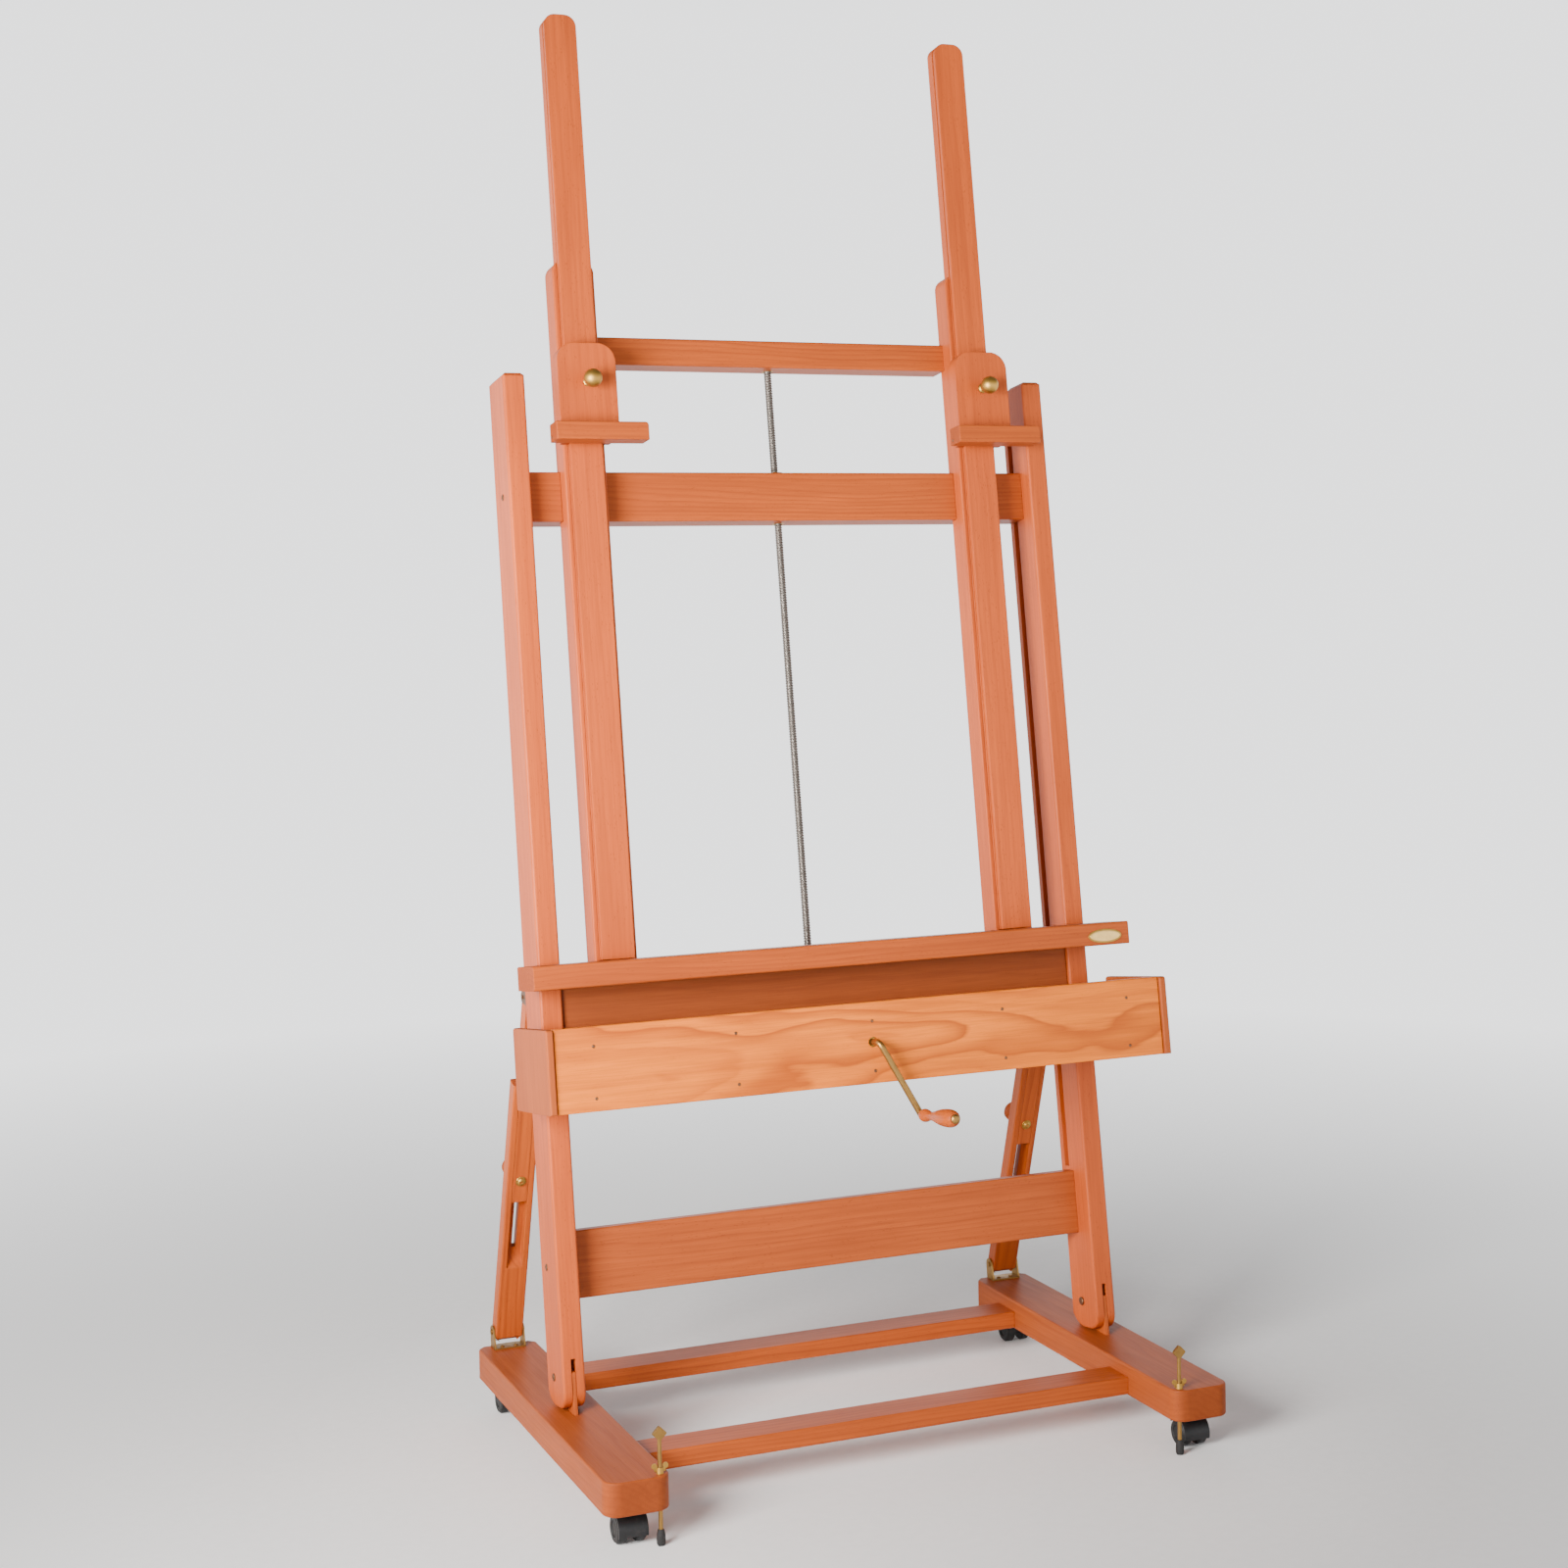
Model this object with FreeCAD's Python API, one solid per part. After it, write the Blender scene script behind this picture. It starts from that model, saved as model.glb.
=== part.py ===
import FreeCAD, Part
import math
import os

# A crank-lifted, double-mast H-frame studio easel. Millimetres, +X to the right seen from the front,
# +Y to the rear, +Z up. The origin is on the floor, at the centre of the footprint.
# The posts and the carriage are drawn upright in their own axes (X, depth V behind the posts' front
# faces, height T above the feet) and leaned back at the end. The struts are drawn upright about their
# lower hinge (X, N to the rear, S along the strut) and leaned forward.

Vector = FreeCAD.Vector
ORIGIN = Vector(0, 0, 0)
X_AXIS = Vector(1, 0, 0)
Y_AXIS = Vector(0, 1, 0)
Z_AXIS = Vector(0, 0, 1)

# Overall
LEAN = 8.0                     # degrees that the posts lean back
SLIDE_GAP = 0.5                # play beside sliding wooden faces
RUNNING_GAP = 0.05             # radial play of turning shafts

# Feet and stretchers
FOOT_BOTTOM = 51.0
FOOT_TOP = 98.0
FOOT_INNER = 391.0
FOOT_OUTER = 485.0
FOOT_HALF_LENGTH = 325.0
FOOT_NOSE_RADIUS = 22.0
FOOT_TAIL_CHAMFER = 11.0
STRETCHER_Z = (53.0, 80.0)
TENON_Z = (60.0, 73.0)
TENON_LENGTH = 40.0
TENON_SHOULDER = 8.0           # how far a tenon stands in from its rail's front and rear
FRONT_STRETCHER_Y = (-187.0, -127.0)
REAR_STRETCHER_Y = (181.0, 241.0)

# Posts
SIDE_X = 438.0                 # centre plane of each post, tongue and strut
POST_WIDTH = 34.0
POST_DEPTH = 80.0
POST_TOP = 1532.0
POST_FRONT_Y = -44.9           # where the posts' front plane meets the feet's top
POST_X = (SIDE_X - POST_WIDTH / 2, SIDE_X + POST_WIDTH / 2)
PIVOT_V = 45.0
PIVOT_T = 50.0
PIVOT_RADIUS = 4.0
HEEL_RADIUS = 41.7
TOE_RADIUS = 25.0
TONGUE_THICK = 6.0
TONGUE_TOP = 61.0
FORK_TOP = 80.0
GUIDE_GROOVE_V = (52.0, 66.0)
GUIDE_GROOVE_DEPTH = 10.0
GUIDE_GROOVE_BOTTOM = 262.0

# Rails between the posts
LOWER_BOARD_V = (38.0, 63.0)
LOWER_BOARD_T = (158.0, 256.0)
CROSSBAR_V = (30.0, 80.0)
CROSSBAR_T = (1309.5, 1386.0)
MAST_NOTCH_DEPTH = 18.5

# Carriage
MAST_X = 332.0
MAST_HALF = 33.0
MAST_V = (7.0, 48.0)
MAST_TOP = 1710.0
MAST_LAP_V = 28.0
CARRIAGE_BOTTOM = 441.0
LEDGE_V = (-83.5, 27.5)
LEDGE_T = (612.0, 647.0)
LEDGE_HALF = 487.0
LEDGE_CLEAR_V = -6.0           # the flat that a canvas stands on ends here
LEDGE_REBATE = 1.0             # the strip under the masts and slats is this much lower
BACK_BOARD_V = (7.0, 27.0)
TOP_BAR_V = (34.0, 78.0)
TOP_BAR_T = (1555.0, 1598.0)
TRAY_HALF = 498.0
TRAY_WALL = 11.0
TRAY_V = (-165.5, 4.0)
TRAY_END_GAP = 1.5             # between the front board's ends and the side panels
TRAY_TOP = 559.5
TRAY_FRONT_V = (-161.0, -147.0)
RIB_TOP = 541.0
TRAY_BOTTOM_THICK = 9.0
TRAY_SCREW_X = (0.0, 214.5, 428.5)
TRAY_SCREW_T = (459.0, 531.7)
BADGE_X = 443.5
BADGE_T = 626.5

# Slats and clamps
SLAT_HALF = 25.5
SLAT_V = (-5.0, 23.0)
SLAT_T = (LEDGE_T[1] + 1.0, 2093.0)
CLAMP_T = (1423.0, 1572.0)
CLAMP_HALF = 46.0
CLAMP_BLOCK_V = (-30.0, -5.4)
CLAMP_BAR_V = (-63.0, -30.0)
CLAMP_BAR_T = (1418.0, 1445.0)
CLAMP_BAR_REACH = (-63.5, 81.5)    # left and right of the mast's centre: the same part on both sides
BALL_RADIUS = 14.0
BALL_V = -57.0
BALL_T = 1512.0

# Lift: threaded rod, bevel gears and crank
ROD_V = 64.0
ROD_RADIUS = 6.0
ROD_TOP = 1587.0
ROD_BUSH_RADIUS = 9.0
CRANK_BAR_RADIUS = 4.8
CRANK_BUSH_RADIUS = 7.5
CRANK_BEND_RADIUS = 9.0
CRANK_T = 501.0
GEAR_TEETH = 16
GEAR_PITCH_RADIUS = 18.0
GEAR_FACE = 8.0
CRANK_SWEEP = 27.8             # degrees that the arm stands off straight down
CRANK_LENGTH = 124.8
ARM_V = -182.0                 # the arm's centre line
GRIP_V = (-295.0, -187.3)

# Struts
STRUT_FOOT_Y = 316.0
STRUT_FOOT_Z = 123.0
STRUT_HEAD_V = 99.0
STRUT_HEAD_T = 600.0
STRUT_WIDTH = 44.0
STRUT_THICK = 24.0
RUNNER_WIDTH = 24.0
RUNNER_THICK = 12.5

# Casters and levelling screws
WHEEL_RADIUS = 20.0
WHEEL_WIDTH = 14.0
WHEEL_SPACING = 28.0
CASTER_X = 440.0
CASTER_Y = 288.0
CASTER_TRAIL = 9.0
LEVELLER_X = 404.5
LEVELLER_Y = 310.5
TIP_HEIGHT = 22.0
SCREW_RADIUS = 3.0
SWIVEL_SWEEP = 34.4            # no part of a caster's hood reaches further from its swivel axis


# ---------------------------------------------------------------------------------------------- helpers

def block(x, y, z):
    """A box from three (low, high) pairs."""
    return Part.makeBox(x[1] - x[0], y[1] - y[0], z[1] - z[0], Vector(x[0], y[0], z[0]))


def round_bar(radius, start, end):
    """A round bar between two points."""
    path = Vector(*end) - Vector(*start)
    return Part.makeCylinder(radius, path.Length, Vector(*start), path)


def edges_along(shape, axis, shortest=0.0):
    """The straight edges of a shape that run along an axis."""
    found = []
    for edge in shape.Edges:
        if edge.Curve.TypeId != "Part::GeomLine" or edge.Length < shortest:
            continue
        if abs(edge.tangentAt(edge.FirstParameter).dot(axis)) > 0.999:
            found.append(edge)
    return found


def prism_along_x(outline, x):
    """A plate with its outline in the YZ plane, given as points and as arcs' (middle, end) pairs."""
    edges = []
    here = Vector(x[0], *outline[0])
    for step in outline[1:]:
        if isinstance(step[0], tuple):
            middle = Vector(x[0], *step[0])
            end = Vector(x[0], *step[1])
            edges.append(Part.Arc(here, middle, end).toShape())
        else:
            end = Vector(x[0], *step)
            edges.append(Part.LineSegment(here, end).toShape())
        here = end
    start = Vector(x[0], *outline[0])
    if here.distanceToPoint(start) > 1e-6:
        edges.append(Part.LineSegment(here, start).toShape())
    return Part.Face(Part.Wire(edges)).extrude(Vector(x[1] - x[0], 0, 0))


def turned(profile, centre, axis):
    """A solid turned about an axis, from (radius, distance along the axis) points."""
    points = [Vector(radius, 0, along) for radius, along in profile]
    solid = Part.Face(Part.makePolygon(points + points[:1])).revolve(ORIGIN, Z_AXIS, 360)
    solid.Placement = FreeCAD.Placement(Vector(*centre), FreeCAD.Rotation(Z_AXIS, axis))
    return solid


def socket_screw(head, direction, head_radius, head_height, shank_radius, length):
    """A low round-headed screw with a hexagon socket: head at `head`, shank along `direction`."""
    profile = [(0, -head_height), (head_radius * 0.7, -head_height), (head_radius, -head_height * 0.4),
               (head_radius, 0), (shank_radius, 0), (shank_radius, length), (0, length)]
    hexagon = []
    for corner in range(6):
        angle = math.radians(60 * corner)
        hexagon.append(Vector(math.cos(angle), math.sin(angle), 0) * (head_radius * 0.45))
    socket = Part.Face(Part.makePolygon(hexagon + hexagon[:1])).extrude(Z_AXIS * (head_height * 0.7))
    socket.translate(Vector(0, 0, -head_height))
    place = FreeCAD.Placement(Vector(*head), FreeCAD.Rotation(Z_AXIS, direction))
    socket.Placement = place * socket.Placement
    return turned(profile, head, direction).cut(socket)


def mirrored(shape):
    """The same piece on the left side."""
    return shape.mirror(ORIGIN, X_AXIS)


def both_sides(shapes):
    """Right-hand pieces together with their left-hand twins."""
    return shapes + [mirrored(shape) for shape in shapes]


def group(shapes):
    """Separate solids kept in one node."""
    return Part.makeCompound(shapes)


def lean_back(shape):
    """From the posts' own axes to the easel's."""
    leaned = shape.copy()
    leaned.rotate(ORIGIN, X_AXIS, -LEAN)
    leaned.translate(Vector(0, POST_FRONT_Y, FOOT_TOP))
    return leaned


def leaned_point(v, t):
    """Where a depth and a height in the posts' axes lie in the easel's Y and Z."""
    angle = math.radians(LEAN)
    y = POST_FRONT_Y + v * math.cos(angle) + t * math.sin(angle)
    z = FOOT_TOP - v * math.sin(angle) + t * math.cos(angle)
    return y, z


def strut_slope():
    """Degrees that the struts lean forward, and the distance between their two hinges."""
    head_y, head_z = leaned_point(STRUT_HEAD_V, STRUT_HEAD_T)
    run = STRUT_FOOT_Y - head_y
    rise = head_z - STRUT_FOOT_Z
    return math.degrees(math.atan2(run, rise)), math.hypot(run, rise)


def lean_forward(shape):
    """From a strut's own axes to the easel's."""
    leaned = shape.copy()
    leaned.rotate(ORIGIN, X_AXIS, strut_slope()[0])
    leaned.translate(Vector(SIDE_X, STRUT_FOOT_Y, STRUT_FOOT_Z))
    return leaned


# ------------------------------------------------------------------------------------------------- base

def foot():
    """The right foot: a heavy rail, rounded at the front and chamfered at the rear."""
    rail = block((FOOT_INNER, FOOT_OUTER), (-FOOT_HALF_LENGTH, FOOT_HALF_LENGTH), (FOOT_BOTTOM, FOOT_TOP))
    upright = edges_along(rail, Z_AXIS)
    nose = [edge for edge in upright if edge.CenterOfMass.y < 0]
    rail = rail.makeFillet(FOOT_NOSE_RADIUS, nose)
    tail = [edge for edge in edges_along(rail, Z_AXIS) if edge.CenterOfMass.y > FOOT_HALF_LENGTH - 1]
    rail = rail.makeChamfer(FOOT_TAIL_CHAMFER, tail)
    rail = rail.makeFillet(3.0, edges_along(rail, Y_AXIS, 100))
    hole_start = (LEVELLER_X, -LEVELLER_Y, FOOT_BOTTOM - 1)
    hole_end = (LEVELLER_X, -LEVELLER_Y, FOOT_TOP + 1)
    return rail.cut(round_bar(SCREW_RADIUS + 0.6, hole_start, hole_end))


def stretcher(y):
    """A cross rail between the feet, with a blind tenon into each."""
    rail = block((-FOOT_INNER, FOOT_INNER), y, STRETCHER_Z)
    rail = rail.makeFillet(3.0, edges_along(rail, X_AXIS))
    reach = FOOT_INNER + TENON_LENGTH
    tenon_y = (y[0] + TENON_SHOULDER, y[1] - TENON_SHOULDER)
    return rail.fuse(block((-reach, reach), tenon_y, TENON_Z)).removeSplitter()


def post_tongue():
    """The upright plate that a post's fork straddles: let into the foot, its front flush with the post's."""
    y, z = leaned_point(PIVOT_V, PIVOT_T)
    crown = 17.0
    toe = leaned_point(1.0, 1.0)
    nose = leaned_point(1.0, TONGUE_TOP)
    brow = leaned_point(12.0, TONGUE_TOP + 3.0)
    root = FOOT_TOP - 18.0
    diagonal = crown * math.sqrt(0.5)
    shoulder = ((y + diagonal, z + diagonal), (y + crown, z))
    heel = (y + 36.0, FOOT_TOP + 2.0)
    outline = [(toe[0], root), toe, nose, brow, (y, z + crown), shoulder, heel, (heel[0], root)]
    plate = prism_along_x(outline, (SIDE_X - TONGUE_THICK / 2, SIDE_X + TONGUE_THICK / 2))
    eye = round_bar(PIVOT_RADIUS + RUNNING_GAP, (SIDE_X - 20, y, z), (SIDE_X + 20, y, z))
    return plate.cut(eye)


def foot_bracket():
    """A U-shaped brass bracket on the foot, and the hinge pin of the strut."""
    ear_thick = 2.5
    inner = STRUT_WIDTH / 2 + 0.5
    outer = inner + ear_thick
    z0 = FOOT_TOP
    y = (STRUT_FOOT_Y - 17, STRUT_FOOT_Y + 7)
    bracket = block((SIDE_X - outer, SIDE_X + outer), y, (z0, z0 + ear_thick))
    for side in (-1, 1):
        low = SIDE_X + side * inner
        x = (min(low, low + side * ear_thick), max(low, low + side * ear_thick))
        outline = [(STRUT_FOOT_Y - 17, z0), (STRUT_FOOT_Y - 10, STRUT_FOOT_Z),
                   ((STRUT_FOOT_Y, STRUT_FOOT_Z + 10), (STRUT_FOOT_Y + 10, STRUT_FOOT_Z)),
                   (STRUT_FOOT_Y + 7, z0)]
        bracket = bracket.fuse(prism_along_x(outline, x))
    pin_start = (SIDE_X - outer - 2, STRUT_FOOT_Y, STRUT_FOOT_Z)
    pin_end = (SIDE_X + outer + 2, STRUT_FOOT_Y, STRUT_FOOT_Z)
    pin = round_bar(4.0, pin_start, pin_end)
    return [bracket.removeSplitter().cut(pin), pin]


def bracket_screws():
    """Two screws that hold the U-shaped bracket down."""
    screws = []
    for x in (SIDE_X - 11, SIDE_X + 11):
        head = (x, STRUT_FOOT_Y - 9, FOOT_TOP + 2.5)
        screws.append(socket_screw(head, Vector(0, 0, -1), 3.6, 1.6, 2.0, 28.0))
    return both_sides(screws)


def caster_places():
    """The four casters' names, swivel positions and the way that their wheels trail."""
    return [("front_left", -CASTER_X, -CASTER_Y, 1), ("front_right", CASTER_X, -CASTER_Y, 1),
            ("rear_left", -CASTER_X, CASTER_Y, 1), ("rear_right", CASTER_X, CASTER_Y, -1)]


def caster_stems():
    """Steel stems pressed into the feet, each with a collar under the foot."""
    stems = []
    for name, x, y, trail in caster_places():
        profile = [(0, 27), (3.5, 27), (3.5, 50), (8, 50), (8, FOOT_BOTTOM), (3.5, FOOT_BOTTOM),
                   (3.5, FOOT_BOTTOM + 24), (0, FOOT_BOTTOM + 24)]
        stems.append(turned(profile, (x, y, 0), Z_AXIS))
    return stems


def caster_hood(x, y, trail):
    """The swivelling body: a web between the wheels, a swivel hub and a fender over the wheels."""
    axle_y = y + trail * CASTER_TRAIL
    axle_z = WHEEL_RADIUS
    top = 49.7
    web_half = WHEEL_SPACING / 2 - WHEEL_WIDTH / 2 - 0.5
    hub = round_bar(10.0, (x, y, 43), (x, y, top))
    half = WHEEL_SPACING / 2 + WHEEL_WIDTH / 2
    shell = round_bar(WHEEL_RADIUS + 3.6, (x - half, axle_y, axle_z), (x + half, axle_y, axle_z))
    mouth = sorted((axle_y + trail * 9.0, axle_y + trail * 40.0))
    shell = shell.cut(block((x - 30, x + 30), (axle_y - 40, axle_y + 40), (-10, axle_z - 7)))
    shell = shell.cut(block((x - 30, x + 30), mouth, (-10, axle_z + 12)))
    shell = shell.common(round_bar(SWIVEL_SWEEP, (x, y, -10), (x, y, 60)))
    hood = shell.fuse(hub)
    wheel_room = WHEEL_RADIUS + 1.2
    for side in (-1, 1):
        start = (x + side * web_half, axle_y, axle_z)
        end = (x + side * 25, axle_y, axle_z)
        hood = hood.cut(round_bar(wheel_room, start, end))
    stem_hole = round_bar(3.5 + RUNNING_GAP, (x, y, 26), (x, y, 60))
    axle_hole = round_bar(3.0 + RUNNING_GAP, (x - 30, axle_y, axle_z), (x + 30, axle_y, axle_z))
    return hood.cut(stem_hole).cut(axle_hole)


def caster_wheels(x, y, trail):
    """Two wheels pressed on one axle."""
    axle_y = y + trail * CASTER_TRAIL
    axle = round_bar(3.0, (x - 17, axle_y, WHEEL_RADIUS), (x + 17, axle_y, WHEEL_RADIUS))
    solids = [axle]
    for side in (-1, 1):
        inner = WHEEL_SPACING / 2 - WHEEL_WIDTH / 2
        tread = [(3.0, 0), (WHEEL_RADIUS - 1.5, 0), (WHEEL_RADIUS, 1.5), (WHEEL_RADIUS, WHEEL_WIDTH - 2.5)]
        face = [(WHEEL_RADIUS - 2.5, WHEEL_WIDTH), (12, WHEEL_WIDTH), (11, WHEEL_WIDTH - 1.5),
                (6, WHEEL_WIDTH - 1.0), (0, WHEEL_WIDTH - 1.0), (0, 10.5), (3.0, 10.5)]
        solids.append(turned(tread + face, (x + side * inner, axle_y, WHEEL_RADIUS), Vector(side, 0, 0)))
    return solids


def leveller_tip(x):
    """The rubber tip that stands on the floor, with a socket for the screw's end."""
    bore = SCREW_RADIUS + RUNNING_GAP
    outside = [(0, 0), (4.6, 0), (6.0, 2.5), (6.25, 7), (6.0, 14), (4.8, 20), (4.0, TIP_HEIGHT)]
    profile = outside + [(bore, TIP_HEIGHT), (bore, 8.0), (0, 8.0)]
    return turned(profile, (x, -LEVELLER_Y, 0), Z_AXIS)


def leveller_screw(x):
    """The levelling screw: a rod with a square plate, standing on its corner, to turn it by."""
    plate_side = 15.0
    plate_thick = 5.0
    plate_z = 152.0
    radius = SCREW_RADIUS
    shank_profile = [(0, 8.2), (radius - 0.8, 8.2), (radius, 9.2), (radius, 146), (0, 146)]
    shank = turned(shank_profile, (x, -LEVELLER_Y, 0), Z_AXIS)
    low = -plate_side / 2
    plate = Part.makeBox(plate_side, plate_thick, plate_side, Vector(low, -plate_thick / 2, low))
    plate = plate.makeFillet(2.5, edges_along(plate, Y_AXIS))
    plate.rotate(ORIGIN, Y_AXIS, 45)
    plate.translate(Vector(x, -LEVELLER_Y, plate_z))
    return shank.fuse(plate).removeSplitter()


def wing_nut(x):
    """A brass wing nut that locks the levelling screw on the foot's top."""
    y = -LEVELLER_Y
    bore = SCREW_RADIUS + RUNNING_GAP
    nut = turned([(bore, 0), (5.5, 0), (4.5, 8), (bore, 8)], (x, y, FOOT_TOP), Z_AXIS)
    wing_reach = 8.0
    wing_thick = 1.8
    for side in (-1, 1):
        wing_centre = Vector(x + side * wing_reach, y - wing_thick / 2, FOOT_TOP + 10.0)
        wing = Part.makeCylinder(4.0, wing_thick, wing_centre, Y_AXIS)
        arm_x = sorted((x + side * 3.8, x + side * wing_reach))
        arm = block(arm_x, (y - wing_thick / 2, y + wing_thick / 2), (FOOT_TOP + 2.5, FOOT_TOP + 8.5))
        nut = nut.fuse(wing).fuse(arm)
    return nut.removeSplitter()


# --------------------------------------------------------------------------------------- tilting frame

def outer_post():
    """The right post: rounded toe and heel, fork slot, guide groove and chamfered top."""
    bottom = PIVOT_T - HEEL_RADIUS
    toe_middle = TOE_RADIUS * (1 - math.sqrt(0.5))
    heel_reach = POST_DEPTH - PIVOT_V
    heel_angle = math.asin(heel_reach / HEEL_RADIUS)
    heel_end = (POST_DEPTH, PIVOT_T - HEEL_RADIUS * math.cos(heel_angle))
    heel_middle = (PIVOT_V + HEEL_RADIUS * math.sin(heel_angle / 2),
                   PIVOT_T - HEEL_RADIUS * math.cos(heel_angle / 2))
    toe = ((toe_middle, bottom + toe_middle), (TOE_RADIUS, bottom))
    outline = [(0, bottom + TOE_RADIUS), toe, (PIVOT_V, bottom), (heel_middle, heel_end),
               (POST_DEPTH, POST_TOP), (0, POST_TOP)]
    post = prism_along_x(outline, POST_X)
    crown = [edge for edge in post.Edges if edge.BoundBox.ZMin > POST_TOP - 0.1]
    post = post.makeChamfer(5.0, crown)
    post = post.makeFillet(4.0, edges_along(post, Z_AXIS, 1000))
    slot_half = TONGUE_THICK / 2 + 0.4
    slot = block((SIDE_X - slot_half, SIDE_X + slot_half), (-1, POST_DEPTH + 1), (0, FORK_TOP))
    groove_x = (POST_X[0] - 1, POST_X[0] + GUIDE_GROOVE_DEPTH)
    groove = block(groove_x, GUIDE_GROOVE_V, (GUIDE_GROOVE_BOTTOM, POST_TOP + 1))
    return post.cut(slot).cut(groove)


def lower_board():
    """The board that ties the posts together under the carriage."""
    board = block((-POST_X[0], POST_X[0]), LOWER_BOARD_V, LOWER_BOARD_T)
    return board.makeFillet(2.5, edges_along(board, X_AXIS))


def upper_crossbar():
    """The rail across the posts, notched in front for the masts and bored for the rod's nut."""
    bar = block((-POST_X[0], POST_X[0]), CROSSBAR_V, CROSSBAR_T)
    bar = bar.makeFillet(3.0, edges_along(bar, X_AXIS))
    for centre in (-MAST_X, MAST_X):
        x = (centre - MAST_HALF - SLIDE_GAP, centre + MAST_HALF + SLIDE_GAP)
        v = (CROSSBAR_V[0] - 1, CROSSBAR_V[0] + MAST_NOTCH_DEPTH)
        bar = bar.cut(block(x, v, (CROSSBAR_T[0] - 1, CROSSBAR_T[1] + 1)))
    return bar.cut(rod_nut_body())


def rod_nut_body():
    """The outside of the rod's nut: a barrel through the crossbar with a flange on top."""
    return round_bar(10.0, (0, ROD_V, CROSSBAR_T[0]), (0, ROD_V, CROSSBAR_T[1]))


def rod_nut():
    """The brass nut that the lift rod climbs through."""
    flange = turned([(0, 0), (15, 0), (15, 3), (13.5, 4.5), (0, 4.5)], (0, ROD_V, CROSSBAR_T[1]), Z_AXIS)
    thread = round_bar(ROD_RADIUS + RUNNING_GAP, (0, ROD_V, 0), (0, ROD_V, 2000))
    return rod_nut_body().fuse(flange).removeSplitter().cut(thread)


def frame_bolts():
    """Tilt pivots with their nuts, and the screws that hold the rails between the posts."""
    outside = Vector(-1, 0, 0)
    pivot = socket_screw((POST_X[1], PIVOT_V, PIVOT_T), outside, 5.8, 2.0, PIVOT_RADIUS, POST_WIDTH + 3.0)
    nut_profile = [(PIVOT_RADIUS, 0), (6.5, 0), (6.5, 2.0), (5.5, 3.0), (PIVOT_RADIUS, 3.0)]
    nut = turned(nut_profile, (POST_X[0], PIVOT_V, PIVOT_T), outside)
    bolts = [pivot, nut]
    board_t = sum(LOWER_BOARD_T) / 2
    bolts.append(socket_screw((POST_X[1], 50.0, board_t), outside, 5.2, 1.2, 3.5, 90.0))
    crossbar_t = sum(CROSSBAR_T) / 2
    bolts.append(socket_screw((POST_X[1], 38.0, crossbar_t), outside, 5.2, 1.2, 3.5, 44.0))
    return both_sides(bolts)


def strut_top_bracket():
    """A brass clevis behind the post, and the pin that the strut's head hangs on."""
    ear_thick = 2.5
    inner = RUNNER_WIDTH / 2 + 0.8
    outer = inner + ear_thick
    t = STRUT_HEAD_T
    plate = block((SIDE_X - outer, SIDE_X + outer), (POST_DEPTH, POST_DEPTH + 2.5), (t - 24, t + 24))
    bracket = plate
    for side in (-1, 1):
        low = SIDE_X + side * inner
        x = (min(low, low + side * ear_thick), max(low, low + side * ear_thick))
        outline = [(POST_DEPTH, t - 14), (STRUT_HEAD_V, t - 9),
                   ((STRUT_HEAD_V + 9, t), (STRUT_HEAD_V, t + 9)), (POST_DEPTH, t + 14)]
        bracket = bracket.fuse(prism_along_x(outline, x))
    pin = round_bar(3.0, (SIDE_X - outer - 1.5, STRUT_HEAD_V, t), (SIDE_X + outer + 1.5, STRUT_HEAD_V, t))
    solids = [bracket.removeSplitter().cut(pin), pin]
    return both_sides(solids)


# -------------------------------------------------------------------------------------------- carriage

def mast():
    """The right mast: a channel for the slat, a lap behind the back board and a rounded top."""
    x = (MAST_X - MAST_HALF, MAST_X + MAST_HALF)
    body = block(x, MAST_V, (450, MAST_TOP))
    corners = [edge for edge in edges_along(body, Y_AXIS) if edge.CenterOfMass.z > MAST_TOP - 1]
    body = body.makeFillet(20.0, corners)
    body = body.makeFillet(2.5, edges_along(body, Z_AXIS, 500))
    foot_t = LEDGE_T[1] - LEDGE_REBATE
    lap = block((x[0] - 1, x[1] + 1), (MAST_V[0] - 1, MAST_LAP_V), (440, foot_t))
    half = SLAT_HALF + 0.4
    channel_v = (MAST_V[0] - 1, SLAT_V[1] + SLIDE_GAP)
    channel = block((MAST_X - half, MAST_X + half), channel_v, (foot_t - 1, MAST_TOP + 1))
    tenon = block((x[0] - 1, x[0] + 10), (36, 46), (1566, 1586))
    return body.cut(lap).cut(channel).cut(tenon)


def top_bar():
    """The bar that joins the masts behind: stub tenons, and a blind bore below for the rod's bush."""
    reach = MAST_X - MAST_HALF
    bar = block((-reach, reach), TOP_BAR_V, TOP_BAR_T)
    bar = bar.makeFillet(3.0, edges_along(bar, X_AXIS))
    tenons = block((-reach - 10, reach + 10), (36, 46), (1566, 1586))
    bar = bar.fuse(tenons).removeSplitter()
    return bar.cut(round_bar(ROD_BUSH_RADIUS, (0, ROD_V, TOP_BAR_T[0] - 1), (0, ROD_V, ROD_TOP + 2)))


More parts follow.
